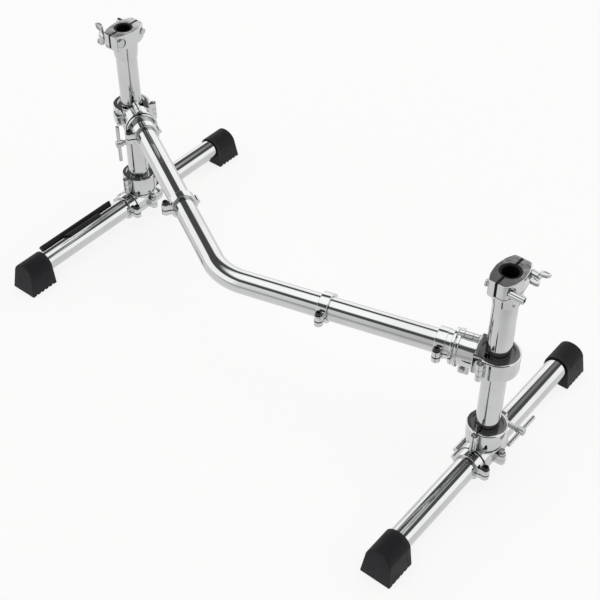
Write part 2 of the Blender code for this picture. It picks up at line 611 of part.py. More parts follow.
def bar_clamp_body():
    """The crossbar clamp's casting; X runs from the post to the bar and Z = 0 is the bar's axis."""
    low, middle, high = thirds(-STRAP_HALF, STRAP_HALF)
    hinge_at = (0.0, SLEEVE_HINGE)
    block_low = (BLOCK_START, -BLOCK_HALF_WIDTH, -BLOCK_HALF_HEIGHT)
    ear_low = (STRAP_EDGE, -STRAP_EAR_REACH, -STRAP_EAR_HALF)
    web_low = (STRAP_EDGE, STRAP_WEB_ROOT, -STRAP_HALF + GAP)
    web_high = (STRAP_HINGE[0] + KNUCKLE_RADIUS, STRAP_HINGE[1], STRAP_HALF - GAP)
    screw_ear_low = (SOCKET_EAR_START, 0.0, -SOCKET_EAR_DROP)
    screw_ear_high = (SOCKET_EAR_END, EAR_THICK, -SLEEVE_RADIUS + BITE)
    socket_web_low = (SOCKET_START + OVER, 0.0, SOCKET_WEB_ROOT)
    socket_web_high = (SOCKET_END - OVER, KNUCKLE_RADIUS, SLEEVE_HINGE)
    steps = [
        ("+", box(block_low, (BLOCK_END, BLOCK_HALF_WIDTH, BLOCK_HALF_HEIGHT))),
        ("+", rod(SLEEVE_RADIUS, SOCKET_ROOT, SOCKET_END, "X")),
        ("+", rod(FLANGE_RADIUS, FLANGE_START, SOCKET_END + GAP, "X")),
        ("+", box(ear_low, (STRAP_BOLT_SEAT, -STRAP_EAR_ROOT, STRAP_EAR_HALF))),
        ("+", box(web_low, web_high)),
        ("-", strap_recess(1)),
        ("-", strap_recess(-1)),
        ("-", box((-FAR, -FAR, -FAR), (STRAP_EDGE + GAP, FAR, FAR))),
        ("+", box(screw_ear_low, screw_ear_high)),
        ("+", box(socket_web_low, socket_web_high)),
        ("-", rod(BORE_RADIUS, -FAR, FAR)),
        ("-", rod(BORE_RADIUS, SOCKET_START - GAP, 2 * FAR, "X")),
        ("-", box((SOCKET_START, -FAR, -FAR), (2 * FAR, SPLIT, FAR))),
        ("+", rod(KNUCKLE_RADIUS, SOCKET_START - OVER, SOCKET_KNUCKLE_START, "X", hinge_at)),
        ("+", rod(KNUCKLE_RADIUS, SOCKET_KNUCKLE_END, SOCKET_END - GAP, "X", hinge_at)),
        ("-", rod(KNUCKLE_RADIUS + GAP, SOCKET_KNUCKLE_START, SOCKET_KNUCKLE_END, "X", hinge_at)),
        ("-", rod(PIN_RADIUS + GAP, 0.0, 2 * FAR, "X", hinge_at)),
        ("-", rod(SCREW_RADIUS + SCREW_PLAY, -FAR, FAR, "Y", (BAR_SCREW_ALONG, -BAR_SCREW_DROP))),
        ("+", rod(KNUCKLE_RADIUS, low[0] + 2 * GAP, low[1], at=STRAP_HINGE)),
        ("+", rod(KNUCKLE_RADIUS, high[0], high[1] - 2 * GAP, at=STRAP_HINGE)),
        ("-", rod(KNUCKLE_RADIUS + GAP, middle[0], middle[1], at=STRAP_HINGE)),
        ("+", rod(PIN_RADIUS, -STRAP_HALF + OVER, STRAP_HALF - OVER, at=STRAP_HINGE)),
        ("-", strap_bolt_hole()),
    ]
    return take_mesh(combine(rod(STRAP_RADIUS, -STRAP_HALF, STRAP_HALF), *steps), "bar_clamp_body")


def post_strap():
    """The U-shaped strap that pulls the post against the crossbar clamp, hinged at +Y."""
    low, middle, high = thirds(-STRAP_HALF, STRAP_HALF)
    ear_low = (STRAP_EAR_START, -STRAP_EAR_REACH, -STRAP_EAR_HALF)
    web_low = (STRAP_HINGE[0] - KNUCKLE_RADIUS, STRAP_WEB_ROOT, middle[0] + 2 * GAP)
    web_high = (STRAP_EDGE - GAP, STRAP_HINGE[1], middle[1] - 2 * GAP)
    steps = [
        ("+", box(ear_low, (STRAP_EDGE, -STRAP_EAR_ROOT, STRAP_EAR_HALF))),
        ("-", strap_recess(1)),
        ("-", strap_recess(-1)),
        ("-", box((STRAP_EDGE - GAP, -FAR, -FAR), (FAR, FAR, FAR))),
        ("-", rod(BORE_RADIUS, -FAR, FAR)),
        ("-", box((0.0, -BORE_RADIUS, -FAR), (FAR, BORE_RADIUS, FAR))),
        ("-", rod(KNUCKLE_RADIUS + GAP, low[0] - OVER, low[1] + GAP, at=STRAP_HINGE)),
        ("-", rod(KNUCKLE_RADIUS + GAP, high[0] - GAP, high[1] + OVER, at=STRAP_HINGE)),
        ("+", box(web_low, web_high)),
        ("+", rod(KNUCKLE_RADIUS, middle[0] + GAP, middle[1] - GAP, at=STRAP_HINGE)),
        ("-", rod(PIN_RADIUS + GAP, -STRAP_HALF, STRAP_HALF, at=STRAP_HINGE)),
        ("-", strap_bolt_hole()),
    ]
    return take_mesh(combine(rod(STRAP_RADIUS, -STRAP_HALF, STRAP_HALF), *steps), "post_strap")


def bar_jaw():
    """The moving half of the crossbar socket, on -Y, hinged along the top."""
    hinge_at = (0.0, SLEEVE_HINGE)
    ear_low = (SOCKET_EAR_START, -EAR_THICK, -SOCKET_EAR_DROP)
    ear_high = (SOCKET_EAR_END, 0.0, -SLEEVE_RADIUS + BITE)
    web_low = (SOCKET_KNUCKLE_START + OVER, -KNUCKLE_RADIUS, SOCKET_WEB_ROOT)
    web_high = (SOCKET_KNUCKLE_END - OVER, -2 * SPLIT, SLEEVE_HINGE)
    knuckle_start = SOCKET_KNUCKLE_START + 2 * GAP
    knuckle_end = SOCKET_KNUCKLE_END - 2 * GAP
    steps = [
        ("+", rod(FLANGE_RADIUS, FLANGE_START, SOCKET_END + GAP, "X")),
        ("+", box(ear_low, ear_high)),
        ("-", rod(BORE_RADIUS, 0.0, 2 * FAR, "X")),
        ("-", box((0.0, -SPLIT, -FAR), (2 * FAR, FAR, FAR))),
        ("-", rod(KNUCKLE_RADIUS + GAP, 0.0, SOCKET_KNUCKLE_START + GAP, "X", hinge_at)),
        ("-", rod(KNUCKLE_RADIUS + GAP, SOCKET_KNUCKLE_END - GAP, 2 * FAR, "X", hinge_at)),
        ("+", box(web_low, web_high)),
        ("+", rod(KNUCKLE_RADIUS, knuckle_start, knuckle_end, "X", hinge_at)),
        ("-", rod(PIN_RADIUS + GAP, 0.0, 2 * FAR, "X", hinge_at)),
        ("-", rod(SCREW_RADIUS + GAP, -FAR, 0.0, "Y", (BAR_SCREW_ALONG, -BAR_SCREW_DROP))),
    ]
    return take_mesh(combine(rod(SLEEVE_RADIUS, SOCKET_START + GAP, SOCKET_END, "X"), *steps), "bar_jaw")


def collar(side, sleeve=0.0):
    """A split collar along X; its lug is on -Y (-1) or +Y (1), and a keyed one has a flanged sleeve on -X."""
    slit_low, slit_high = sorted((side * COLLAR_SLIT_START, side * FAR))
    half_high = COLLAR_LUG_HALF_HEIGHT
    bead_at = (-side * COLLAR_BEAD_REACH, COLLAR_BEAD_RISE)
    lug = tongue(COLLAR_LUG_HALF_WIDTH, COLLAR_LUG_ROOT, COLLAR_BOLT_REACH, -half_high, half_high, side)
    steps = [("+", lug), ("+", rod(COLLAR_BEAD_RADIUS, -COLLAR_HALF + GAP, COLLAR_HALF - GAP, "X", bead_at))]
    if sleeve:
        start = -COLLAR_HALF - sleeve
        steps.append(("+", rod(COLLAR_RADIUS - OVER, start, 0.0, "X")))
        steps.append(("+", rod(COLLAR_FLANGE_RADIUS, start - GAP, start + COLLAR_FLANGE_THICK, "X")))
    steps += [
        ("-", rod(BORE_RADIUS, -FAR, FAR, "X")),
        ("-", box((-FAR, slit_low, -SPLIT), (FAR, slit_high, SPLIT))),
        ("-", rod(COLLAR_HOLE_RADIUS, -FAR, FAR, at=(0.0, side * COLLAR_BOLT_REACH))),
    ]
    return take_mesh(combine(rod(COLLAR_RADIUS, -COLLAR_HALF, COLLAR_HALF, "X"), *steps), "collar")


def jaw_outline():
    """The top clamp's plan: an eye shape along X, with blunt ends."""
    right = [
        (JAW_HALF_LENGTH, -JAW_HALF_END),
        (JAW_HALF_LENGTH, JAW_HALF_END),
        JAW_SHOULDER,
        (0.0, JAW_HALF_WIDTH),
        (-JAW_SHOULDER[0], JAW_SHOULDER[1]),
    ]
    return right + [(-x, -y) for x, y in right]


def jaw_bolt_cuts(side, radius, start):
    """Cuts for the two bolts of the top clamp, from start outwards on -Y (-1) or +Y (1)."""
    low, high = sorted((side * start, side * FAR))
    return [("-", rod(radius, low, high, "Y", (along, JAW_BOLT_HEIGHT))) for along in (WING_REACH, KEY_REACH)]


def top_clamp_body():
    """Neck on the post and the fixed jaw, on +Y; the moving jaw is screwed on from -Y."""
    neck = rod(NECK_RADIUS, NECK_LOW, JAW_LOW, top_radius=NECK_TOP_RADIUS)
    slit_low = (-NECK_SLIT_HALF, -FAR, NECK_LOW - OVER)
    steps = [
        ("+", plate(jaw_outline(), HEAD_LOW, JAW_HIGH)),
        ("-", box((-FAR, -FAR, JAW_LOW - GAP), (FAR, JAW_GAP_HIGH, ABOVE))),
        ("-", rod(BORE_RADIUS, NECK_LOW - OVER, POST_TOP + GAP)),
        ("-", rod(ARM_BORE_RADIUS + OVER, POST_TOP, JAW_HIGH + OVER)),
        ("-", rod(BUSHING_RADIUS + GAP, JAW_LOW - GAP, JAW_HIGH + OVER)),
        *jaw_bolt_cuts(1, SPOT_RADIUS, JAW_SEAT - GAP),
        *jaw_bolt_cuts(1, SCREW_RADIUS + GAP, 0.0),
        ("-", box(slit_low, (NECK_SLIT_HALF, -NECK_SLIT_START, NECK_SLIT_HIGH))),
    ]
    return take_mesh(combine(neck, *steps), "top_clamp_body")


def top_jaw():
    """The moving jaw of the top clamp."""
    steps = [
        ("-", box((-FAR, JAW_GAP_LOW, 0.0), (FAR, FAR, ABOVE))),
        ("-", rod(BUSHING_RADIUS + GAP, JAW_LOW - OVER, JAW_HIGH + OVER)),
        *jaw_bolt_cuts(-1, SPOT_RADIUS, JAW_SEAT - GAP),
        *jaw_bolt_cuts(-1, SCREW_RADIUS + GAP, 0.0),
    ]
    return take_mesh(combine(plate(jaw_outline(), JAW_LOW, JAW_HIGH), *steps), "top_jaw")


def bushing(side):
    """Half of the plastic bushing, on the fixed (1) or the moving (-1) jaw, with a thin fin at each end."""
    middle = (JAW_GAP_LOW + JAW_GAP_HIGH) / 2
    face = middle + side * ((JAW_GAP_HIGH - JAW_GAP_LOW) / 2 - GAP)
    fin_low, fin_high = sorted((middle, face))
    cut_low, cut_high = sorted((middle + side * GAP, -side * FAR))
    low = JAW_LOW + GAP
    steps = []
    for end in (-1, 1):
        start, stop = sorted((end * BUSHING_FIN_ROOT, end * BUSHING_FIN_REACH))
        steps.append(("+", box((start, fin_low, low + GAP), (stop, fin_high, JAW_HIGH - GAP))))
    steps.append(("-", rod(ARM_BORE_RADIUS, low - OVER, JAW_HIGH + OVER)))
    steps.append(("-", box((-FAR, cut_low, 0.0), (FAR, cut_high, ABOVE))))
    steps += jaw_bolt_cuts(side, SCREW_RADIUS + GAP, -BITE)
    return take_mesh(combine(rod(BUSHING_RADIUS, low, JAW_HIGH), *steps), "bushing")


def through_bolt(head_radius, head, past_seat):
    """A bolt through both jaws along Z: the head is below its seat at 0 and the shank above."""
    shank = rod(SCREW_RADIUS - BOLT_PLAY, -OVER, 2 * JAW_SEAT + past_seat)
    return take_mesh(combine(shank, ("+", rod(head_radius, -head, -GAP))), "through_bolt")


def wing_nut():
    """A wing nut on Z from 0 up, its two blades along X."""
    right = [(x * MM, z * MM) for x, z in WING_OUTLINE]
    wings = plate(right + [(-x, z) for x, z in reversed(right)], -WING_HALF_THICK, WING_HALF_THICK)
    wings.data.transform(Matrix.Rotation(QUARTER, 4, "X"))
    steps = [("+", wings), ("-", rod(SCREW_RADIUS + NUT_PLAY, -OVER, FAR))]
    return take_mesh(combine(rod(WING_HUB_RADIUS, 0.0, WING_HUB_HIGH), *steps), "wing_nut")


def key_nut():
    """The long nut on the key bolt: a round barrel with a square socket in its end."""
    half = KEY_NUT_SOCKET_HALF
    steps = [
        ("-", rod(SCREW_RADIUS + NUT_PLAY, -OVER, KEY_NUT_THREAD)),
        ("-", box((-half, -half, KEY_NUT_SOCKET_LOW), (half, half, FAR))),
    ]
    return take_mesh(combine(rod(KEY_NUT_RADIUS, 0.0, KEY_NUT_LENGTH), *steps), "key_nut")


def arc_shell(degrees, span, outer):
    """Part of a tube along X between two angles, from the far side (+Y) over the top."""
    start, end = (math.radians(value) for value in degrees)
    steps = max(3, round(abs(end - start) / math.radians(CLIP_STEP)))
    outline = arc(CLIP_INNER, start, end, steps) + arc(outer, end, start, steps)
    shell = plate(outline, span[0], span[1])
    shell.data.transform(STAND_ALONG_X)
    return shell


def cable_clip():
    """A snap-on clip: a long rail, a short flap over the tube and a hook behind it."""
    rail = arc_shell(CLIP_RAIL, CLIP_RAIL_SPAN, CLIP_RAIL_OUTER)
    flap = arc_shell(CLIP_FLAP, CLIP_FLAP_SPAN, CLIP_SKIN)
    hook = arc_shell(CLIP_HOOK, CLIP_FLAP_SPAN, CLIP_SKIN)
    slant = box((-CLIP_SLANT_LENGTH, -FAR, -CLIP_SLANT_LENGTH), (0.0, FAR, FAR))
    place = Matrix.Translation((CLIP_FLAP_SPAN[0], CLIP_SLANT_SIDE, 0.0))
    slant.data.transform(place @ Matrix.Rotation(math.radians(CLIP_SLANT), 4, "Z"))
    return take_mesh(combine(flap, ("-", slant), ("+", rail), ("+", hook)), "cable_clip")


def add_leg(rack, side, shapes, post):
    """The leg clamp, leg tube, feet and leg collar of one side."""
    leg = rack.empty(f"{side}_leg_frame", post, turn=LEG_TURN)
    clamp = rack.empty(f"{side}_leg_clamp_frame", leg, turn=math.pi)
    rack.add(f"{side}_leg_clamp_body", shapes["leg_clamp_body"], rack.chrome, clamp)
    hinge = rack.empty(f"{side}_post_ring_hinge", clamp, (HINGE_REACH, 0.0, 0.0))
    rack.add(f"{side}_post_ring_jaw", shapes["post_ring_jaw"], rack.chrome, hinge, (-HINGE_REACH, 0.0, 0.0))
    grip = rack.empty(f"{side}_leg_grip_hinge", clamp, (0.0, -SLEEVE_HINGE, LEG_HEIGHT))
    grip_jaw_at = (0.0, SLEEVE_HINGE, -LEG_HEIGHT)
    rack.add(f"{side}_leg_grip_jaw", shapes["leg_grip_jaw"], rack.chrome, grip, grip_jaw_at)
    screw_at = (-HINGE_REACH - SCREW_REACH, -HANDLE_TIP, SCREW_HEIGHT)
    screw = rack.empty(f"{side}_leg_screw_axis", hinge, screw_at)
    screw.rotation_euler = (-QUARTER, math.radians(HANDLE_TURN[f"{side}_leg"]), 0.0)
    rack.add(f"{side}_leg_handle", shapes["handle"], rack.steel, screw)
    grip_bolt_at = (0.0, GRIP_BOLT_REACH, LEG_HEIGHT)
    rack.add(f"{side}_leg_grip_bolt", shapes["grip_bolt"], rack.steel, clamp, grip_bolt_at)

    shift = LEG_SHIFT[side]
    tube_frame = rack.empty(f"{side}_leg_tube_frame", leg, (shift, 0.0, LEG_HEIGHT))
    rack.add(f"{side}_leg_tube", shapes["leg_tube"], rack.chrome, tube_frame)
    reach = LEG_TUBE_LENGTH / 2 - FOOT_DEPTH
    rack.add(f"{side}_back_foot", shapes["foot"], rack.rubber, tube_frame, (reach, 0.0, -LEG_HEIGHT))
    front_at = (-reach, 0.0, -LEG_HEIGHT)
    rack.add(f"{side}_front_foot", shapes["foot"], rack.rubber, tube_frame, front_at, (0.0, 0.0, math.pi))
    add_collar(rack, f"{side}_leg_collar", shapes, tube_frame, LEG_COLLAR_AT - shift, "near_collar")
    return tube_frame


def add_bar_clamp(rack, side, shapes, frame):
    """The clamp that joins the crossbar's end to a post."""
    rack.add(f"{side}_bar_clamp_body", shapes["bar_clamp_body"], rack.chrome, frame)
    rack.add(f"{side}_post_strap", shapes["post_strap"], rack.chrome, frame)
    bolt_turn = (0.0, QUARTER, 0.0)
    bolt_at = (0.0, -STRAP_BOLT_REACH, 0.0)
    rack.add(f"{side}_post_strap_bolt", shapes["strap_bolt"], rack.steel, frame, bolt_at, bolt_turn)
    hinge = rack.empty(f"{side}_bar_jaw_hinge", frame, (0.0, 0.0, SLEEVE_HINGE))
    rack.add(f"{side}_bar_jaw", shapes["bar_jaw"], rack.chrome, hinge, (0.0, 0.0, -SLEEVE_HINGE))
    rack.add(f"{side}_bar_jaw_pin", shapes["bar_jaw_pin"], rack.steel, hinge)
    screw_at = (BAR_SCREW_ALONG, HANDLE_TIP, -SLEEVE_HINGE - BAR_SCREW_DROP)
    screw = rack.empty(f"{side}_bar_screw_axis", hinge, screw_at)
    screw.rotation_euler = (QUARTER, math.radians(HANDLE_TURN[f"{side}_bar"]), 0.0)
    rack.add(f"{side}_bar_handle", shapes["handle"], rack.steel, screw)


def add_collar(rack, name, shapes, frame, along, kind):
    """A split collar at a place along a tube, with its bolt."""
    rack.add(name, shapes[kind], rack.chrome, frame, (along, 0.0, 0.0))
    reach = COLLAR_BOLT_REACH if kind.startswith("far") else -COLLAR_BOLT_REACH
    rack.add(f"{name}_bolt", shapes["cap_bolt"], rack.dark_steel, frame, (along, reach, 0.0))


def add_top_clamp(rack, side, shapes, post):
    """The clamp on top of a post that holds an accessory arm."""
    turn = LEG_TURN if side == "right" else LEG_TURN + math.pi
    head = rack.empty(f"{side}_top_clamp_frame", post, turn=turn)
    rack.add(f"{side}_top_clamp_body", shapes["top_clamp_body"], rack.chrome, head)
    rack.add(f"{side}_top_jaw", shapes["top_jaw"], rack.chrome, head)
    rack.add(f"{side}_fixed_bushing", shapes["fixed_bushing"], rack.plastic, head)
    rack.add(f"{side}_moving_bushing", shapes["moving_bushing"], rack.plastic, head)
    lying = (QUARTER, 0.0, 0.0)
    wing_turn = (QUARTER, math.radians(WING_TURN[side]), 0.0)
    wing_bolt_at = (WING_REACH, JAW_SEAT, JAW_BOLT_HEIGHT)
    wing_nut_at = (WING_REACH, -JAW_SEAT, JAW_BOLT_HEIGHT)
    key_bolt_at = (KEY_REACH, JAW_SEAT, JAW_BOLT_HEIGHT)
    key_nut_at = (KEY_REACH, -JAW_SEAT, JAW_BOLT_HEIGHT)
    rack.add(f"{side}_wing_bolt", shapes["wing_bolt"], rack.steel, head, wing_bolt_at, lying)
    rack.add(f"{side}_wing_nut", shapes["wing_nut"], rack.steel, head, wing_nut_at, wing_turn)
    rack.add(f"{side}_key_bolt", shapes["jaw_key_bolt"], rack.steel, head, key_bolt_at, lying)
    rack.add(f"{side}_key_nut", shapes["key_nut"], rack.steel, head, key_nut_at, lying)


def build_shapes():
    """Every prototype mesh, by name."""
    return {
        "leg_tube": tube(LEG_TUBE_LENGTH),
        "post_tube": tube(POST_TOP - POST_BOTTOM),
        "crossbar": crossbar(),
        "foot": foot(),
        "leg_clamp_body": leg_clamp_body(),
        "post_ring_jaw": post_ring_jaw(),
        "leg_grip_jaw": leg_grip_jaw(),
        "grip_bolt": key_bolt(-GRIP_BOLT_DROP, GRIP_EAR_RISE, GRIP_BOLT_RADIUS),
        "handle": handle(),
        "bar_clamp_body": bar_clamp_body(),
        "post_strap": post_strap(),
        "strap_bolt": key_bolt(STRAP_BOLT_TIP, STRAP_BOLT_SEAT, STRAP_BOLT_RADIUS),
        "bar_jaw": bar_jaw(),
        "bar_jaw_pin": take_mesh(rod(PIN_RADIUS, SOCKET_START, SOCKET_END, "X"), "bar_jaw_pin"),
        "near_collar": collar(-1),
        "far_collar": collar(1),
        "near_keyed_collar": collar(-1, KEYED_COLLAR_SLEEVE),
        "far_keyed_collar": collar(1, KEYED_COLLAR_SLEEVE),
        "cap_bolt": cap_bolt(),
        "top_clamp_body": top_clamp_body(),
        "top_jaw": top_jaw(),
        "fixed_bushing": bushing(1),
        "moving_bushing": bushing(-1),
        "wing_bolt": through_bolt(WING_BOLT_HEAD_RADIUS, WING_BOLT_HEAD, WING_BOLT_PAST_SEAT),
        "jaw_key_bolt": through_bolt(KEY_BOLT_HEAD_RADIUS, KEY_BOLT_HEAD, KEY_BOLT_PAST_SEAT),
        "wing_nut": wing_nut(),
        "key_nut": key_nut(),
        "cable_clip": cable_clip(),
    }


def main():
    clear_scene()
    rack = Rack()
    shapes = build_shapes()
    heading = math.pi - BAR_BEND
    right = rack.empty("right_post_frame", None, (RIGHT_POST_X, RIGHT_POST_Y, 0.0))
    left_x = -BAR_RIGHT_ARM + BAR_LEFT_ARM * math.cos(heading)
    left_y = BAR_LEFT_ARM * math.sin(heading)
    left = rack.empty("left_post_frame", right, (left_x, left_y, 0.0))
    rack.add("crossbar", shapes["crossbar"], rack.chrome, right, (0.0, 0.0, BAR_HEIGHT))
    post_at = (0.0, 0.0, (POST_TOP + POST_BOTTOM) / 2)
    upright = (0.0, QUARTER, 0.0)
    bar_turn = {"right": math.pi, "left": heading + math.pi}
    lug = {"right": "far", "left": "near"}
    for side, post in (("right", right), ("left", left)):
        rack.add(f"{side}_post", shapes["post_tube"], rack.chrome, post, post_at, upright)
        leg_frame = add_leg(rack, side, shapes, post)
        frame = rack.empty(f"{side}_bar_frame", post, (0.0, 0.0, BAR_HEIGHT), bar_turn[side])
        add_bar_clamp(rack, side, shapes, frame)
        add_collar(rack, f"{side}_keyed_collar", shapes, frame, KEYED_COLLAR_AT, f"{lug[side]}_keyed_collar")
        add_collar(rack, f"{side}_free_collar", shapes, frame, FREE_COLLAR_AT[side], f"{lug[side]}_collar")
        add_top_clamp(rack, side, shapes, post)
        if side == "left":
            clip_at = (-LEG_SHIFT[side], 0.0, 0.0)
            rack.add("cable_clip", shapes["cable_clip"], rack.plastic, leg_frame, clip_at)


main()
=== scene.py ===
"""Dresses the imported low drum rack: chromed tubes, cast clamps, split collars, rubber feet and a cable clip.

Every piece is built once in the frame of the casting it belongs to, then its mesh is put in place,
so a finished object sits at the origin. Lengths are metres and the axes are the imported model's.
"""

from __future__ import annotations

import logging
import math
from collections.abc import Callable, Sequence
from dataclasses import dataclass
from enum import Enum

import bmesh
import bpy
from mathutils import Matrix, Vector


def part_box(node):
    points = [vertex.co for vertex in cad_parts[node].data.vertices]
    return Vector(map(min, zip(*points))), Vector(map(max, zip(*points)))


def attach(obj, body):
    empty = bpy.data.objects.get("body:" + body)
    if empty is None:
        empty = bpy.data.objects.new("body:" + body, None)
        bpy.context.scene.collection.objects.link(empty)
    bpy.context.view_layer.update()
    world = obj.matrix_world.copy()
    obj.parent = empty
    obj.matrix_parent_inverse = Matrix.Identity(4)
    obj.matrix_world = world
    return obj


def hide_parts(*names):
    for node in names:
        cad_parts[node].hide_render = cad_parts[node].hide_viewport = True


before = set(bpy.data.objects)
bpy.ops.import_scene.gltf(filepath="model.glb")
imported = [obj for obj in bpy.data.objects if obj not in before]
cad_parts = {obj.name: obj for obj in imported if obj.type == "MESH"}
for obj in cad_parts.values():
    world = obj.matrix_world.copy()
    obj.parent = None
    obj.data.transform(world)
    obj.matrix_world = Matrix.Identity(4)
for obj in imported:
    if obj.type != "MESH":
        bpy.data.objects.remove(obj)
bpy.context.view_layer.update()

LOG = logging.getLogger("drum_rack")
MM = 0.001

TUBE_RADIUS = 19.05 * MM
TUBE_WALL = 2.0 * MM
BORE_RADIUS = 19.4 * MM
LEG_HEIGHT = 34.0 * MM
BAR_HEIGHT = 234.0 * MM
LEG_TURN = math.radians(74.7)
BAR_BEND = math.radians(44.25)
GAP = 0.3 * MM
SPLIT = 1.2 * MM
KNUCKLE = 5.5 * MM
PIN = 2.2 * MM
OVER = 1.0 * MM
INSET = 0.4 * MM
BITE = 4.0 * MM
FAR = 60.0 * MM
FACET_DRIFT = 1.37 / MM

Point = tuple[float, float]
Corner = tuple[float, float, float]


class Side(Enum):
    """The two ends of the rack."""

    RIGHT = "right"
    LEFT = "left"


class Axis(Enum):
    """The direction in which a turned piece lies, as the matrix that turns +Z to it."""

    X = Matrix.Rotation(math.radians(90.0), 4, "Y")
    Y = Matrix.Rotation(math.radians(-90.0), 4, "X")
    Z = Matrix.Identity(4)


class Finish(Enum):
    """What a piece is finished with: its material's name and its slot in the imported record."""

    TUBE = ("chrome_plate", "chrome")
    CAST = ("cast_chrome", "chrome")
    STEEL = ("bright_steel", "steel")
    DARK = ("dark_bolt_steel", "dark_steel")
    RUBBER = ("foot_rubber", "rubber")
    PLASTIC = ("black_plastic", "plastic")

    @property
    def slot(self) -> str:
        """The record's slot."""
        return self.value[1]


@dataclass(frozen=True)
class Step:
    """One Boolean step: a helper object that is joined on or cut away."""

    tool: bpy.types.Object
    joins: bool


def store(shape: bmesh.types.BMesh, place: Matrix) -> bpy.types.Object:
    """Turns a bmesh into a helper object.

    Args:
        shape: The bmesh, which is freed.
        place: Where its points go.

    Returns:
        An object with the mesh, linked to the scene.
    """
    bmesh.ops.remove_doubles(shape, verts=shape.verts, dist=0.001 * MM)
    bmesh.ops.recalc_face_normals(shape, faces=shape.faces)
    shape.transform(place)
    mesh = bpy.data.meshes.new("helper")
    shape.to_mesh(mesh)
    shape.free()
    obj = bpy.data.objects.new("helper", mesh)
    bpy.context.scene.collection.objects.link(obj)
    return obj


def lying(axis: Axis, at: Point) -> Matrix:
    """Places a piece turned about +Z along an axis.

    Args:
        axis: The axis to lie along.
        at: Its place on the two other axes, in X, Y, Z order.

    Returns:
        The matrix.
    """
    first, second = at
    shift = {
        Axis.X: (0.0, first, second),
        Axis.Y: (first, 0.0, second),
        Axis.Z: (first, second, 0.0),
    }[axis]
    return Matrix.Translation(shift) @ axis.value


def eased(points: Sequence[Point], radius: float, closed: bool = True, steps: int = 3) -> list[Point]:
    """Rounds the corners of an outline.

    Args:
        points: The outline's corners in order.
        radius: How far from each corner the rounding starts, cut to 45% of the shorter side.
        closed: Whether the last corner joins the first; an open outline keeps its ends.
        steps: Facets for each corner.

    Returns:
        The rounded outline.
    """
    made: list[Point] = []
    count = len(points)
    for index, point in enumerate(points):
        if not closed and index in (0, count - 1):
            made.append(point)
            continue
        here = Vector(point)
        before = Vector(points[index - 1]) - here
        after = Vector(points[(index + 1) % count]) - here
        reach = min(radius, 0.45 * before.length, 0.45 * after.length)
        start = here + before.normalized() * reach
        end = here + after.normalized() * reach
        for step in range(steps + 1):
            t = step / steps
            spot = start * (1 - t) ** 2 + here * 2 * t * (1 - t) + end * t**2
            made.append((spot.x, spot.y))
    return made


def spun(profile: Sequence[Point], closed: bool, steps: int, place: Matrix) -> bpy.types.Object:
    """Spins a profile of radius and height points once round +Z.

    Each size starts at an angle of its own, so that the facets of two pieces that are joined never line up.

    Args:
        profile: The points, as radius and height.
        closed: Whether the profile is a closed loop, as for a ring.
        steps: Facets round the axis.
        place: Where the spun piece goes.

    Returns:
        The helper object.
    """
    shape = bmesh.new()
    widest = max(radius for radius, _ in profile)
    phase = (widest + profile[0][1]) * FACET_DRIFT
    verts = [
        shape.verts.new((radius * math.cos(phase), radius * math.sin(phase), height)) for radius, height in profile
    ]
    edges = [shape.edges.new(pair) for pair in zip(verts, verts[1:])]
    if closed:
        edges.append(shape.edges.new((verts[-1], verts[0])))
    bmesh.ops.spin(
        shape,
        geom=[*verts, *edges],
        cent=(0.0, 0.0, 0.0),
        axis=(0.0, 0.0, 1.0),
        dvec=(0.0, 0.0, 0.0),
        angle=math.tau,
        steps=steps,
        use_merge=True,
        use_duplicate=False,
    )
    return store(shape, place)


def rod(
    radius: float,
    start: float,
    end: float,
    axis: Axis = Axis.Z,
    at: Point = (0.0, 0.0),
    edge: float = 0.0,
    steps: int = 0,
) -> bpy.types.Object:
    """A solid cylinder with eased rims.

    Args:
        radius: Its radius.
        start: Where it starts along its axis.
        end: Where it ends.
        axis: Its axis.
        at: Its place on the two other axes.
        edge: Rounding of the rims.
        steps: Facets round it, or 0 for a number that suits its radius.

    Returns:
        The helper object.
    """
    profile = [(0.0, start), (radius, start), (radius, end), (0.0, end)]
    if edge:
        profile = eased(profile, edge, closed=False)
    facets = steps or (72 if radius > 12 * MM else 32)
    return spun(profile, False, facets, lying(axis, at))


def ring(
    inner: float,
    outer: float,
    start: float,
    end: float,
    axis: Axis = Axis.Z,
    at: Point = (0.0, 0.0),
    edge: float = 0.5 * MM,
    steps: int = 72,
) -> bpy.types.Object:
    """A ring or tube with eased rims.

    Args:
        inner: Inner radius.
        outer: Outer radius.
        start: Where it starts along its axis.
        end: Where it ends.
        axis: Its axis.
        at: Its place on the two other axes.
        edge: Rounding of the four rims.
        steps: Facets round it.

    Returns:
        The helper object.
    """
    profile = [(inner, start), (outer, start), (outer, end), (inner, end)]
    return spun(eased(profile, edge), True, steps, lying(axis, at))


def block(low: Corner, high: Corner, edge: float = 0.0) -> bpy.types.Object:
    """A box with eased edges.

    Args:
        low: Its lowest corner.
        high: Its highest corner.
        edge: Rounding of the edges.

    Returns:
        The helper object.
    """
    shape = bmesh.new()
    bmesh.ops.create_cube(shape, size=1.0)
    size = [b - a for a, b in zip(low, high)]
    middle = Vector([(a + b) / 2 for a, b in zip(low, high)])
    bmesh.ops.scale(shape, vec=size, verts=shape.verts)
    if edge:
        bevel(shape, list(shape.edges), edge)
    return store(shape, Matrix.Translation(middle))


def bevel(shape: bmesh.types.BMesh, edges: list[bmesh.types.BMEdge], width: float) -> None:
    """Rounds edges of a bmesh.

    Args:
        shape: The bmesh.
        edges: The edges to round.
        width: Width of the rounding.
    """
    bmesh.ops.bevel(
        shape,
        geom=edges,
        offset=width,
        offset_type="OFFSET",
        segments=3,
        profile=0.5,
        affect="EDGES",
        clamp_overlap=True,
        material=-1,
    )


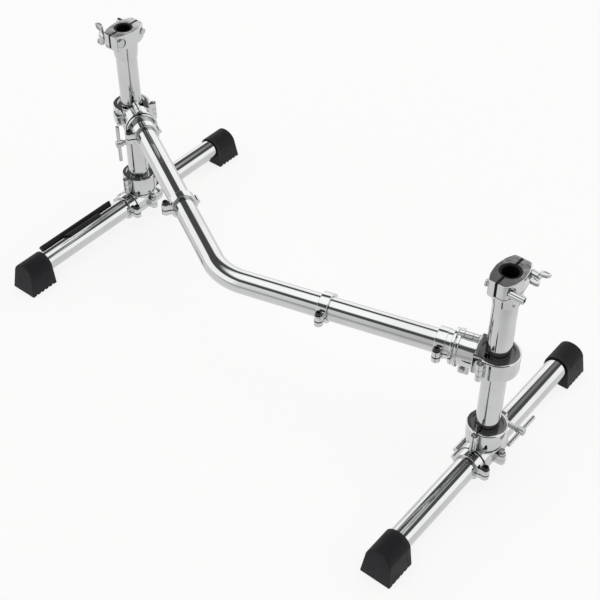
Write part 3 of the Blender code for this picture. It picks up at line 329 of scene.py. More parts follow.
def clear(shape: bmesh.types.BMesh, faces: Sequence[bmesh.types.BMFace]) -> None:
    """Deletes faces that ended up inside a solid."""
    left = [face for face in faces if face.is_valid]
    bmesh.ops.delete(shape, geom=left, context="FACES")


def extruded(
    shape: bmesh.types.BMesh, faces: list[bmesh.types.BMFace], vec: Vector, keep: bool
) -> list[bmesh.types.BMFace]:
    """Extrudes faces by a vector.

    Args:
        shape: The bmesh.
        faces: The faces.
        vec: How far.
        keep: Whether the first faces stay as an end of the solid.

    Returns:
        The faces at the new end.
    """
    made = bmesh.ops.extrude_face_region(shape, geom=faces, use_keep_orig=True)["geom"]
    verts = [item for item in made if isinstance(item, bmesh.types.BMVert)]
    bmesh.ops.translate(shape, vec=vec, verts=verts)
    if not keep:
        clear(shape, faces)
    return [item for item in made if isinstance(item, bmesh.types.BMFace)]


def plate(
    outline: Sequence[Point],
    low: float,
    high: float,
    edge: float = 0.0,
    place: Matrix | None = None,
) -> bpy.types.Object:
    """A flat outline with thickness and eased rims.

    Args:
        outline: Its points in X and Y, in order.
        low: Lower face's height.
        high: Upper face's height.
        edge: Rounding of both rims.
        place: Where the plate goes.

    Returns:
        The helper object.
    """
    shape = bmesh.new()
    face = shape.faces.new([shape.verts.new((x, y, low)) for x, y in outline])
    extruded(shape, [face], Vector((0.0, 0.0, high - low)), True)
    bmesh.ops.recalc_face_normals(shape, faces=shape.faces)
    if edge:
        rims = [e for e in shape.edges if abs(e.verts[0].co.z - e.verts[1].co.z) < (high - low) / 2]
        bevel(shape, rims, edge)
    return store(shape, place or Matrix.Identity(4))


def tongue(
    half_width: float, root: float, reach: float, low: float, high: float, side: int = 1, edge: float = 0.0
) -> bpy.types.Object:
    """A flat ear along Y with a round end.

    Args:
        half_width: Half its width, and the radius of its end.
        root: Where it starts.
        reach: Middle of its round end.
        low: Lower face's height.
        high: Upper face's height.
        side: 1 for an ear along +Y and -1 for one along -Y.
        edge: Rounding of both rims.

    Returns:
        The helper object.
    """
    steps = 20
    angles = [math.pi * step / steps for step in range(steps + 1)]
    arc = [(half_width * math.cos(a), reach + half_width * math.sin(a)) for a in angles]
    outline = [(half_width, root), *arc, (-half_width, root)]
    return plate([(x, side * y) for x, y in outline], low, high, edge)


def join(tool: bpy.types.Object) -> Step:
    """A step that adds a helper."""
    return Step(tool, True)


def cut(tool: bpy.types.Object) -> Step:
    """A step that takes a helper away."""
    return Step(tool, False)


def shaped(base: bpy.types.Object, *steps: Step) -> bpy.types.Mesh:
    """Joins and cuts helpers in order.

    Args:
        base: The helper to start from.
        steps: What to join or cut.

    Returns:
        The finished mesh; the helpers are gone.
    """
    for number, step in enumerate(steps):
        modifier = base.modifiers.new(f"step_{number}", "BOOLEAN")
        modifier.operation = "UNION" if step.joins else "DIFFERENCE"
        modifier.solver = "EXACT"
        modifier.object = step.tool
    graph = bpy.context.evaluated_depsgraph_get()
    graph.update()
    mesh = bpy.data.meshes.new_from_object(base.evaluated_get(graph))
    for used in (base, *(step.tool for step in steps)):
        bpy.data.objects.remove(used, do_unlink=True)
    shape = bmesh.new()
    shape.from_mesh(mesh)
    bmesh.ops.remove_doubles(shape, verts=shape.verts, dist=0.01 * MM)
    bmesh.ops.dissolve_degenerate(shape, edges=shape.edges, dist=0.01 * MM)
    shape.to_mesh(mesh)
    shape.free()
    return mesh


class Graph:
    """Builds the nodes of one material or of the world."""

    def __init__(self, tree: bpy.types.NodeTree) -> None:
        """Keeps the node tree."""
        self.tree = tree

    def node(self, kind: str, **settings: object) -> bpy.types.Node:
        """Adds a node.

        Args:
            kind: The node's type name.
            settings: Its properties, by name.

        Returns:
            The node.
        """
        made = self.tree.nodes.new(kind)
        for name, value in settings.items():
            setattr(made, name, value)
        return made

    def link(self, start: bpy.types.NodeSocket, end: bpy.types.NodeSocket) -> None:
        """Joins an output to an input."""
        self.tree.links.new(start, end)

    def value(self, operation: str, *inputs: float | bpy.types.NodeSocket) -> bpy.types.NodeSocket:
        """Adds a Math node.

        Args:
            operation: The Math operation.
            inputs: Numbers or sockets for its inputs.

        Returns:
            Its output.
        """
        made = self.node("ShaderNodeMath", operation=operation)
        for socket, given in zip(made.inputs, inputs):
            if isinstance(given, bpy.types.NodeSocket):
                self.link(given, socket)
            else:
                socket.default_value = given
        return made.outputs[0]

    def stops(self, factor: bpy.types.NodeSocket, points: Sequence[tuple[float, float]]) -> bpy.types.NodeSocket:
        """Adds a grey colour ramp.

        Args:
            factor: The ramp's input.
            points: Place and grey value of each stop, in order.

        Returns:
            The ramp's colour.
        """
        ramp = self.node("ShaderNodeValToRGB")
        elements = ramp.color_ramp.elements
        while len(elements) < len(points):
            elements.new(0.5)
        for element, (place, grey) in zip(elements, points):
            element.position = place
            element.color = (grey, grey, grey, 1.0)
        self.link(factor, ramp.inputs["Fac"])
        return ramp.outputs["Color"]

    def noise(self, scale: float, detail: float, stretch: Corner = (1.0, 1.0, 1.0)) -> bpy.types.NodeSocket:
        """Adds noise on the object's own coordinates.

        Args:
            scale: Cells in a metre.
            detail: Octaves.
            stretch: Scale along each axis.

        Returns:
            The noise value.
        """
        place = self.node("ShaderNodeTexCoord")
        mapping = self.node("ShaderNodeMapping")
        mapping.inputs["Scale"].default_value = stretch
        self.link(place.outputs["Object"], mapping.inputs["Vector"])
        noise = self.node("ShaderNodeTexNoise")
        noise.inputs["Scale"].default_value = scale
        noise.inputs["Detail"].default_value = detail
        self.link(mapping.outputs["Vector"], noise.inputs["Vector"])
        return noise.outputs["Fac"]

    def bump(self, height: bpy.types.NodeSocket, depth: float, normal: bpy.types.NodeSocket | None = None) -> bpy.types.NodeSocket:
        """Adds a Bump node.

        Args:
            height: The height from 0 to 1.
            depth: What a height of 1 stands for, in metres.
            normal: The normal to start from.

        Returns:
            The bumped normal.
        """
        made = self.node("ShaderNodeBump")
        made.inputs["Strength"].default_value = 1.0
        made.inputs["Distance"].default_value = depth
        self.link(height, made.inputs["Height"])
        if normal is not None:
            self.link(normal, made.inputs["Normal"])
        return made.outputs["Normal"]


@dataclass(frozen=True)
class PlatedMetal:
    """Bright plate on steel or on a casting: clean on the whole, with faint smears and a slight waviness."""

    tint: Corner
    smooth: float
    smeared: float
    wave_scale: float
    wave_depth: float
    grain_depth: float

    def build(self, name: str) -> bpy.types.Material:
        """Makes the material.

        Args:
            name: Its name.

        Returns:
            The material.
        """
        material = bpy.data.materials.new(name)
        material.use_nodes = True
        graph = Graph(material.node_tree)
        shader = material.node_tree.nodes["Principled BSDF"]
        shader.inputs["Metallic"].default_value = 1.0
        smear = graph.stops(graph.noise(14.0, 6.0, (1.0, 1.0, 1.6)), ((0.45, 0.0), (0.72, 1.0)))
        fleck = graph.stops(graph.noise(420.0, 3.0), ((0.62, 0.0), (0.8, 1.0)))
        spread = graph.value("MULTIPLY_ADD", smear, self.smeared - self.smooth, self.smooth)
        rough = graph.value("MULTIPLY_ADD", fleck, 0.05, spread)
        graph.link(rough, shader.inputs["Roughness"])
        dull = graph.node("ShaderNodeMix", data_type="RGBA")
        dull.inputs["A"].default_value = (*self.tint, 1.0)
        dull.inputs["B"].default_value = (*(0.86 * part for part in self.tint), 1.0)
        graph.link(graph.value("MULTIPLY", smear, 0.6), dull.inputs["Factor"])
        graph.link(dull.outputs["Result"], shader.inputs["Base Color"])
        waves = graph.bump(graph.noise(self.wave_scale, 2.0), self.wave_depth)
        grain = graph.bump(graph.noise(1500.0, 2.0), self.grain_depth, waves)
        graph.link(grain, shader.inputs["Normal"])
        return material


@dataclass(frozen=True)
class Moulded:
    """Matt black rubber or plastic: a fine grain, a little greyer where it is rubbed, and dusty in patches."""

    colour: Corner
    worn: Corner
    roughness: float
    shine: float
    grain_depth: float

    def build(self, name: str) -> bpy.types.Material:
        """Makes the material.

        Args:
            name: Its name.

        Returns:
            The material.
        """
        material = bpy.data.materials.new(name)
        material.use_nodes = True
        graph = Graph(material.node_tree)
        shader = material.node_tree.nodes["Principled BSDF"]
        shader.inputs["Specular IOR Level"].default_value = self.shine
        dust = graph.stops(graph.noise(60.0, 8.0), ((0.5, 0.0), (0.75, 1.0)))
        speck = graph.stops(graph.noise(900.0, 4.0), ((0.6, 0.0), (0.78, 1.0)))
        edge = graph.stops(graph.node("ShaderNodeNewGeometry").outputs["Pointiness"], ((0.5, 0.0), (0.58, 1.0)))
        amount = graph.value("MULTIPLY_ADD", dust, 0.35, graph.value("MULTIPLY", speck, 0.2))
        amount = graph.value("MAXIMUM", amount, graph.value("MULTIPLY", edge, 0.8))
        mix = graph.node("ShaderNodeMix", data_type="RGBA")
        mix.inputs["A"].default_value = (*self.colour, 1.0)
        mix.inputs["B"].default_value = (*self.worn, 1.0)
        graph.link(amount, mix.inputs["Factor"])
        graph.link(mix.outputs["Result"], shader.inputs["Base Color"])
        graph.link(graph.value("MULTIPLY_ADD", dust, 0.18, self.roughness), shader.inputs["Roughness"])
        pebble = graph.bump(graph.noise(1100.0, 5.0), self.grain_depth)
        graph.link(graph.bump(graph.noise(90.0, 3.0), 3 * self.grain_depth, pebble), shader.inputs["Normal"])
        return material


def make_finishes() -> dict[Finish, bpy.types.Material]:
    """Makes the six materials.

    Returns:
        The materials by finish.
    """
    wave = 0.05 * MM
    grain = 0.0012 * MM
    looks = {
        Finish.TUBE: PlatedMetal((0.57, 0.58, 0.575), 0.045, 0.12, 26.0, wave, grain),
        Finish.CAST: PlatedMetal((0.57, 0.58, 0.575), 0.05, 0.12, 45.0, 3 * wave, grain),
        Finish.STEEL: PlatedMetal((0.5, 0.505, 0.51), 0.1, 0.2, 60.0, wave, 3 * grain),
        Finish.DARK: PlatedMetal((0.05, 0.05, 0.055), 0.3, 0.4, 60.0, wave, 3 * grain),
        Finish.RUBBER: Moulded((0.006, 0.006, 0.0075), (0.024, 0.024, 0.028), 0.55, 0.16, 0.02 * MM),
        Finish.PLASTIC: Moulded((0.003, 0.003, 0.004), (0.012, 0.012, 0.014), 0.42, 0.14, 0.008 * MM),
    }
    return {finish: look.build(finish.value[0]) for finish, look in looks.items()}


@dataclass(frozen=True)
class Workshop:
    """Turns meshes into dressed pieces."""

    materials: dict[Finish, bpy.types.Material]

    def place(
        self,
        name: str,
        mesh: bpy.types.Mesh,
        matrix: Matrix,
        body: str,
        finish: Finish,
        smooth_angle: float = 32.0,
    ) -> bpy.types.Object:
        """Makes one dressed piece that stands for the CAD node of the same name.

        Args:
            name: The CAD node's name.
            mesh: The shared mesh in its own frame; it is copied.
            matrix: Where the piece goes.
            body: The body it rides on.
            finish: What it is finished with.
            smooth_angle: Edges sharper than this, in degrees, stay sharp.

        Returns:
            The piece.
        """
        made = mesh.copy()
        made.name = f"{name}_dressed"
        made.transform(matrix)
        made.materials.clear()
        made.materials.append(self.materials[finish])
        made.shade_smooth()
        made.set_sharp_from_angle(angle=math.radians(smooth_angle))
        obj = bpy.data.objects.new(f"{name}_dressed", made)
        bpy.context.scene.collection.objects.link(obj)
        weighted = obj.modifiers.new("weighted_normals", "WEIGHTED_NORMAL")
        weighted.keep_sharp = True
        weighted.weight = 60
        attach(obj, body)
        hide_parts(name)
        LOG.info("%s: %d faces on %s", name, len(made.polygons), body)
        return obj


def post_place(side: Side) -> Matrix:
    """The frame of one post, on the floor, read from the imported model."""
    low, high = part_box(f"{side.value}_post")
    return Matrix.Translation(((low.x + high.x) / 2, (low.y + high.y) / 2, 0.0))


@dataclass
class Foot:
    """A rubber foot: its inner face is at X = 0 and its toe points along +X."""

    length: float = 56.0 * MM
    top_length: float = 48.0 * MM
    half_width: float = 26.8 * MM
    arch_radius: float = 22.8 * MM
    depth: float = 43.0 * MM
    grooves: int = 5
    groove_depth: float = 2.5 * MM
    groove_half: float = 2.5 * MM
    rim: float = 1.4 * MM

    def section(self) -> list[Point]:
        """The foot's cross-section: an arch over flared sides.

        Returns:
            Points across and up, with the two sole corners first.
        """
        steps = 28
        arch = [
            (self.arch_radius * math.cos(math.pi * n / steps), LEG_HEIGHT + self.arch_radius * math.sin(math.pi * n / steps))
            for n in range(steps + 1)
        ]
        return [(-self.half_width, 0.0), (self.half_width, 0.0), *arch]

    def mesh(self) -> bpy.types.Mesh:
        """Extrudes the section station by station, lifts the sole at each groove and cuts the bore."""
        lean = (self.length - self.top_length) / (LEG_HEIGHT + self.arch_radius)
        pitch = self.length / (self.grooves + 1)
        stations = [(0.0, 0.0)]
        for number in range(1, self.grooves + 1):
            middle = pitch * number
            stations += [(middle - self.groove_half, 0.0), (middle, self.groove_depth), (middle + self.groove_half, 0.0)]
        stations.append((self.length, 0.0))
        shape = bmesh.new()
        face = shape.faces.new([shape.verts.new((0.0, y, z)) for y, z in self.section()])
        for number, (reach, lift) in enumerate(stations[1:]):
            used = [face]
            face = extruded(shape, used, Vector((0.0, 0.0, 0.0)), number == 0)[0]
            for vert in face.verts:
                vert.co.x = reach - lean * vert.co.z * (reach / self.length) ** 3
                if vert.co.z < 3 * MM:
                    vert.co.z = lift
        bmesh.ops.remove_doubles(shape, verts=shape.verts, dist=0.01 * MM)
        bmesh.ops.recalc_face_normals(shape, faces=shape.faces)
        rims = [edge for edge in face.edges if max(v.co.z for v in edge.verts) > 3 * MM]
        bevel(shape, rims, self.rim)
        body = store(shape, Matrix.Identity(4))
        bore = rod(BORE_RADIUS, -1 * MM, self.depth + GAP, Axis.X, (0.0, LEG_HEIGHT))
        mouth = rod(BORE_RADIUS + 0.8 * MM, -1 * MM, 0.8 * MM, Axis.X, (0.0, LEG_HEIGHT))
        return shaped(body, cut(bore), cut(mouth))


@dataclass
class SplitCollar:
    """A collar along X, pinched by a bolt, with a flanged sleeve where it keys into a clamp."""

    lug_side: int
    sleeve: float = 0.0
    radius: float = 24.0 * MM
    half: float = 8.0 * MM
    lug_root: float = 18.0 * MM
    lug_half_width: float = 7.0 * MM
    lug_half_height: float = 10.0 * MM
    bolt_reach: float = 30.0 * MM
    bolt_hole: float = 3.4 * MM
    slit_start: float = 15.0 * MM
    bead_radius: float = 4.0 * MM
    bead_reach: float = 24.5 * MM
    bead_rise: float = 4.0 * MM
    flange_radius: float = 29.0 * MM
    flange_thick: float = 4.5 * MM

    def mesh(self) -> bpy.types.Mesh:
        """The collar's mesh in its own frame."""
        side = self.lug_side
        rise = self.lug_half_height
        slit_low, slit_high = sorted((side * self.slit_start, side * FAR))
        bead_at = (-side * self.bead_reach, self.bead_rise)
        hole_at = (0.0, side * self.bolt_reach)
        steps = [
            join(tongue(self.lug_half_width, self.lug_root, self.bolt_reach, -rise, rise, side, 1.2 * MM)),
            join(rod(self.bead_radius, -self.half + GAP, self.half - GAP, Axis.X, bead_at, 0.6 * MM)),
        ]
        if self.sleeve:
            start = -self.half - self.sleeve
            steps.append(join(rod(self.radius - OVER, start, 0.0, Axis.X, edge=0.6 * MM)))
            flange_end = start + self.flange_thick
            steps.append(join(rod(self.flange_radius, start - GAP, flange_end, Axis.X, edge=1.2 * MM)))
        steps += [
            cut(rod(BORE_RADIUS, -FAR, FAR, Axis.X)),
            cut(block((-FAR, slit_low, -SPLIT), (FAR, slit_high, SPLIT))),
            cut(rod(self.bolt_hole, -FAR, FAR, at=hole_at)),
        ]
        return shaped(rod(self.radius, -self.half, self.half, Axis.X, edge=1.0 * MM), *steps)


@dataclass
class CapBolt:
    """The dark bolt of a split collar, along Z: a round head with a six-sided socket."""

    radius: float = 3.0 * MM
    drop: float = 13.0 * MM
    seat: float = 10.0 * MM
    head_radius: float = 5.0 * MM
    head_thick: float = 5.5 * MM
    socket_radius: float = 2.5 * MM
    socket_depth: float = 3.0 * MM

    def mesh(self) -> bpy.types.Mesh:
        """The bolt's mesh, with its thread below the lug."""
        top = self.seat + self.head_thick
        return shaped(
            threaded_rod(self.radius, -self.drop, self.seat + OVER, 8 * MM),
            join(rod(self.head_radius, self.seat + GAP, top, edge=1.0 * MM)),
            cut(rod(self.socket_radius, top - self.socket_depth, top + OVER, steps=6)),
        )


@dataclass
class KeyBolt:
    """A bolt along Z with a round head and a square end for a key."""

    tip: float
    seat: float
    radius: float = 3.0 * MM
    head_ratio: float = 1.8
    square_ratio: float = 1.05
    head_high: float = 4.5 * MM
    square_low: float = 4.0 * MM
    square_high: float = 11.0 * MM

    def mesh(self) -> bpy.types.Mesh:
        """The bolt's mesh, from its tip up to its key."""
        half = self.square_ratio * self.radius
        head = rod(self.head_ratio * self.radius, self.seat + GAP, self.seat + self.head_high, edge=0.7 * MM)
        key = block(
            (-half, -half, self.seat + self.square_low), (half, half, self.seat + self.square_high), 0.5 * MM
        )
        return shaped(threaded_rod(self.radius, self.tip, self.seat + OVER, 8 * MM), join(head), join(key))


def threaded_rod(radius: float, start: float, end: float, thread: float, pitch: float = 1.25 * MM) -> bpy.types.Object:
    """A rod whose lower end carries thread ridges.

    Args:
        radius: Its radius.
        start: Its lower end.
        end: Its upper end.
        thread: Length of the threaded stretch, from the lower end.
        pitch: From one ridge to the next.

    Returns:
        The helper object.
    """
    depth = 0.3 * MM
    profile: list[Point] = [(0.0, start), (radius - depth, start)]
    count = int(thread / pitch)
    for number in range(count):
        at = start + number * pitch
        profile += [(radius, at + 0.5 * pitch), (radius - depth, at + pitch)]
    profile += [(radius, start + (count + 0.5) * pitch), (radius, end), (0.0, end)]
    return spun(profile, False, 28, Matrix.Identity(4))


@dataclass
class THandle:
    """A T-handle whose screw runs along Z from its tip at 0."""

    screw_radius: float = 4.0 * MM
    flange_at: float = 24.4 * MM
    flange_radius: float = 8.0 * MM
    flange_thick: float = 2.8 * MM
    waist_radius: float = 4.5 * MM
    hub_at: float = 56.0 * MM
    hub_radius: float = 6.4 * MM
    hub_half: float = 6.5 * MM
    rod_radius: float = 3.3 * MM
    rod_length: float = 76.0 * MM
    tip: float = 14.0 * MM

    def mesh(self) -> bpy.types.Mesh:
        """The handle's mesh: threaded screw, washer, waisted hub and a cross rod with round ends."""
        half = self.rod_length / 2
        foot = self.flange_at + 2 * MM
        hub_low = self.hub_at - self.hub_half
        hub_high = self.hub_at + self.hub_half
        waist = [
            (0.0, foot),
            (self.waist_radius + OVER, foot),
            (self.waist_radius, foot + 6 * MM),
            (self.waist_radius, hub_low - 3 * MM),
            (self.hub_radius, hub_low),
            (self.hub_radius, hub_high - 1.5 * MM),
            (self.waist_radius, hub_high),
            (0.0, hub_high),
        ]
        flange = rod(self.flange_radius, self.flange_at, self.flange_at + self.flange_thick, edge=0.8 * MM)
        cross = rod(self.rod_radius, -half, half, Axis.X, (0.0, self.hub_at), self.rod_radius * 0.8)
        stem = spun(eased(waist, 0.8 * MM, closed=False), False, 32, Matrix.Identity(4))
        screw = threaded_rod(self.screw_radius, 0.0, self.flange_at + OVER, self.flange_at - 2 * MM)
        return shaped(screw, join(flange), join(stem), join(cross))


@dataclass
class Leg:
    """A leg tube with its feet and its split collar, centred on the tube's middle."""

    side: Side
    length: float = 538.0 * MM
    collar_at: float = -42.0 * MM

    @property
    def shift(self) -> float:
        """How far the tube's middle is from the post, along the leg."""
        return {Side.RIGHT: -3.0 * MM, Side.LEFT: -28.0 * MM}[self.side]

    def frame(self) -> Matrix:
        """The frame of the tube's middle."""
        return post_place(self.side) @ Matrix.Rotation(LEG_TURN, 4, "Z") @ Matrix.Translation((self.shift, 0.0, LEG_HEIGHT))

    def dress(self, shop: Workshop, shapes: dict[str, bpy.types.Mesh]) -> None:
        """Places the pieces that slide with the leg.

        Args:
            shop: Makes the pieces.
            shapes: The shared meshes.
        """
        name = self.side.value
        body = f"{name}_leg"
        place = self.frame()
        reach = self.length / 2 - Foot().depth
        shop.place(f"{name}_leg_tube", shapes["leg_tube"], place, body, Finish.TUBE)
        toe = place @ Matrix.Translation((reach, 0.0, -LEG_HEIGHT))
        heel = place @ Matrix.Translation((-reach, 0.0, -LEG_HEIGHT)) @ Matrix.Rotation(math.pi, 4, "Z")
        shop.place(f"{name}_back_foot", shapes["foot"], toe, body, Finish.RUBBER)
        shop.place(f"{name}_front_foot", shapes["foot"], heel, body, Finish.RUBBER)
        collar = place @ Matrix.Translation((self.collar_at - self.shift, 0.0, 0.0))
        shop.place(f"{name}_leg_collar", shapes["near_collar"], collar, body, Finish.CAST)
        bolt = collar @ Matrix.Translation((0.0, -SplitCollar(-1).bolt_reach, 0.0))
        shop.place(f"{name}_leg_collar_bolt", shapes["cap_bolt"], bolt, body, Finish.DARK)


def thirds(low: float, high: float) -> list[Point]:
    """Heights of the lower, middle and upper knuckles of a hinge."""
    third = (high - low) / 3
    return [(low + third * n, low + third * (n + 1)) for n in range(3)]


@dataclass
class LegClamp:
    """The clamp that stands a post on a leg: a hinged ring round the post over a hinged sleeve on the leg."""

    side: Side
    column_radius: float = 27.0 * MM
    column_low: float = 42.0 * MM
    ring_radius: float = 32.0 * MM
    ring_low: float = 64.0 * MM
    ring_high: float = 94.5 * MM
    recess_radius: float = 25.0 * MM
    recess_depth: float = 3.0 * MM
    hinge_reach: float = 36.0 * MM
    ear_reach: float = 46.0 * MM
    ear_high: float = 84.0 * MM
    ear_thick: float = 10.0 * MM
    screw_reach: float = 35.0 * MM
    screw_height: float = 73.0 * MM
    screw_spot: float = 9.0 * MM
    sleeve_radius: float = 26.0 * MM
    sleeve_half: float = 33.0 * MM
    sleeve_hinge: float = 30.0 * MM
    grip_knuckle: float = 12.0 * MM
    grip_web: float = 4.5 * MM
    grip_ear_root: float = 20.0 * MM
    grip_ear_half: float = 7.0 * MM
    grip_ear_rise: float = 9.0 * MM
    grip_ear_drop: float = 10.0 * MM
    bolt_reach: float = 33.0 * MM
    bolt_drop: float = 13.0 * MM
    post_bottom: float = 55.0 * MM
    edge: float = 1.4 * MM
    rim: float = 3.2 * MM

    def ear(self, side: int) -> bpy.types.Object:
        """The ear of the ring on one side of the split, for the screw."""
        low, high = sorted((-side * BITE, side * (self.ear_thick + (GAP if side > 0 else 0.0))))
        start = -self.ring_radius + BITE
        return block((-self.ear_reach, low, self.ring_low + GAP), (start, high, self.ear_high), 2 * MM)

    def recess(self) -> Step:
        """The sunken ring round the post, in the top of the ring."""
        return cut(rod(self.recess_radius, self.ring_high - self.recess_depth, self.ring_high + OVER))

    def ring_jaw(self) -> bpy.types.Mesh:
        """The moving half of the ring, on +Y."""
        low, middle, high = thirds(self.ring_low, self.ring_high)
        hinge = (self.hinge_reach, 0.0)
        screw_at = (-self.screw_reach, self.screw_height)
        web_low = (self.ring_radius - BITE, 2 * SPLIT, middle[0] + 2 * GAP)
        return shaped(
            rod(self.ring_radius, self.ring_low, self.ring_high, edge=self.rim),
            join(self.ear(1)),
            cut(rod(BORE_RADIUS, self.ring_low - OVER, self.ring_high + OVER)),
            self.recess(),
            cut(block((-FAR, -FAR, 0.0), (FAR, SPLIT, 2 * FAR))),
            cut(rod(KNUCKLE + GAP, low[0] - OVER, low[1] + GAP, at=hinge)),
            cut(rod(KNUCKLE + GAP, high[0] - GAP, high[1] + OVER, at=hinge)),
            join(block(web_low, (self.hinge_reach + INSET, KNUCKLE - INSET, middle[1] - 2 * GAP))),
            join(rod(KNUCKLE, middle[0] + GAP, middle[1] - GAP, at=hinge, edge=0.4 * MM)),
            cut(rod(PIN + GAP, self.ring_low, self.ring_high, at=hinge)),
            cut(rod(THandle().screw_radius + GAP, 0.0, FAR, Axis.Y, screw_at)),
            cut(rod(self.screw_spot, self.ear_thick, FAR, Axis.Y, screw_at)),
        )

    def body(self) -> bpy.types.Mesh:
        """The casting: half of the ring over a saddle, with its knuckles and pins."""
        low, middle, high = thirds(self.ring_low, self.ring_high)
        hinge = (self.hinge_reach, 0.0)
        side_hinge = (-self.sleeve_hinge, LEG_HEIGHT)
        half = self.sleeve_half
        knuckle = self.grip_knuckle
        grip_ear_high = LEG_HEIGHT + self.grip_ear_rise
        grip_web_low = (-half + INSET, -self.sleeve_hinge - INSET, LEG_HEIGHT - BITE)
        grip_web_high = (half - INSET, -self.sleeve_radius + BITE, LEG_HEIGHT + self.grip_web)
        web_low = (self.ring_radius - BITE, -KNUCKLE + INSET, self.ring_low + INSET)
        web_high = (self.hinge_reach + INSET, BITE, self.ring_high - INSET)
        screw_at = (-self.screw_reach, self.screw_height)
        grip_ear = tongue(
            self.grip_ear_half, self.grip_ear_root, self.bolt_reach, LEG_HEIGHT - BITE, grip_ear_high, 1, 1.6 * MM
        )
        bead = ring(self.column_radius - BITE, self.column_radius + 2 * MM, 51 * MM, 55 * MM, edge=1.2 * MM)
        return shaped(
            rod(self.sleeve_radius, -half, half, Axis.X, (0.0, LEG_HEIGHT), self.edge),
            join(rod(self.column_radius, self.column_low, self.ring_low + BITE)),
            join(bead),
            join(rod(self.ring_radius, self.ring_low, self.ring_high, edge=self.rim)),
            join(self.ear(-1)),
            join(block(web_low, web_high)),
            join(grip_ear),
            join(block(grip_web_low, grip_web_high)),
            cut(rod(BORE_RADIUS, self.post_bottom - GAP, self.ring_high + OVER)),
            self.recess(),
            cut(block((-FAR, -SPLIT, self.ring_low - GAP), (FAR, FAR, 2 * FAR))),
            cut(block((-FAR, -FAR, -OVER), (FAR, FAR, LEG_HEIGHT + GAP))),
            cut(rod(BORE_RADIUS, -FAR, FAR, Axis.X, (0.0, LEG_HEIGHT))),
            cut(rod(KNUCKLE + GAP, middle[0], middle[1], at=hinge)),
            join(rod(KNUCKLE, low[0] + GAP, low[1] - GAP / 2, at=hinge, edge=0.4 * MM)),
            join(rod(KNUCKLE, high[0] + GAP / 2, high[1] + GAP, at=hinge, edge=0.4 * MM)),
            join(rod(PIN, self.ring_low + OVER, self.ring_high + OVER, at=hinge, edge=0.4 * MM)),
            cut(rod(KNUCKLE + GAP, -knuckle, knuckle, Axis.X, side_hinge)),
            join(rod(KNUCKLE, -half + GAP, -knuckle - GAP / 2, Axis.X, side_hinge, 0.4 * MM)),
            join(rod(KNUCKLE, knuckle + GAP / 2, half - GAP, Axis.X, side_hinge, 0.4 * MM)),
            join(rod(PIN, -half - OVER, half + OVER, Axis.X, side_hinge, 0.4 * MM)),
            cut(rod(THandle().screw_radius + 2 * GAP, -FAR, 0.0, Axis.Y, screw_at)),
            cut(rod(3.4 * MM, LEG_HEIGHT - OVER, grip_ear_high + OVER, at=(0.0, self.bolt_reach))),
        )

    def grip_jaw(self) -> bpy.types.Mesh:
        """The lower half of the sleeve on the leg."""
        side_hinge = (-self.sleeve_hinge, LEG_HEIGHT)
        knuckle = self.grip_knuckle
        low = LEG_HEIGHT - self.grip_ear_drop
        web_low = (-knuckle + OVER, -self.sleeve_hinge - INSET, LEG_HEIGHT - self.grip_web)
        web_high = (knuckle - OVER, -self.sleeve_radius + BITE, LEG_HEIGHT + BITE)
        ear = tongue(
            self.grip_ear_half, self.grip_ear_root, self.bolt_reach, low, LEG_HEIGHT + BITE, 1, 1.6 * MM
        )
        return shaped(
            rod(self.sleeve_radius, -self.sleeve_half, self.sleeve_half, Axis.X, (0.0, LEG_HEIGHT), self.edge),
            join(ear),
            join(block(web_low, web_high)),
            cut(block((-FAR, -FAR, LEG_HEIGHT - GAP), (FAR, FAR, 2 * FAR))),
            cut(rod(BORE_RADIUS, -FAR, FAR, Axis.X, (0.0, LEG_HEIGHT))),
            cut(rod(KNUCKLE + GAP, -FAR, -knuckle + GAP, Axis.X, side_hinge)),
            cut(rod(KNUCKLE + GAP, knuckle - GAP, FAR, Axis.X, side_hinge)),
            join(rod(KNUCKLE, -knuckle + 2 * GAP, knuckle - 2 * GAP, Axis.X, side_hinge, 0.4 * MM)),
            cut(rod(PIN + GAP, -self.sleeve_half, self.sleeve_half, Axis.X, side_hinge)),
            cut(rod(4.2 * MM, 0.0, LEG_HEIGHT + OVER, at=(0.0, self.bolt_reach))),
        )

    def dress(self, shop: Workshop, shapes: dict[str, bpy.types.Mesh]) -> None:
        """Places the clamp's pieces and its T-handle.

        Args:
            shop: Makes the pieces.
            shapes: The shared meshes.
        """
        name = self.side.value
        body = f"{name}_leg_clamp"
        place = post_place(self.side) @ Matrix.Rotation(LEG_TURN + math.pi, 4, "Z")
        shop.place(f"{name}_leg_clamp_body", shapes["leg_clamp_body"], place, body, Finish.CAST)
        shop.place(f"{name}_post_ring_jaw", shapes["post_ring_jaw"], place, body, Finish.CAST)
        shop.place(f"{name}_leg_grip_jaw", shapes["leg_grip_jaw"], place, body, Finish.CAST)
        bolt = place @ Matrix.Translation((0.0, self.bolt_reach, LEG_HEIGHT))
        shop.place(f"{name}_leg_grip_bolt", shapes["grip_bolt"], bolt, body, Finish.STEEL)
        turn = {Side.RIGHT: 0.0, Side.LEFT: math.radians(90.0)}[self.side]
        screw = Matrix.Translation((-self.screw_reach, -14 * MM, self.screw_height))
        spin = Matrix.Rotation(turn, 4, "Y") @ Matrix.Rotation(math.radians(-90.0), 4, "X")
        shop.place(f"{name}_leg_handle", shapes["handle"], place @ screw @ spin, f"{name}_leg_handle", Finish.STEEL)


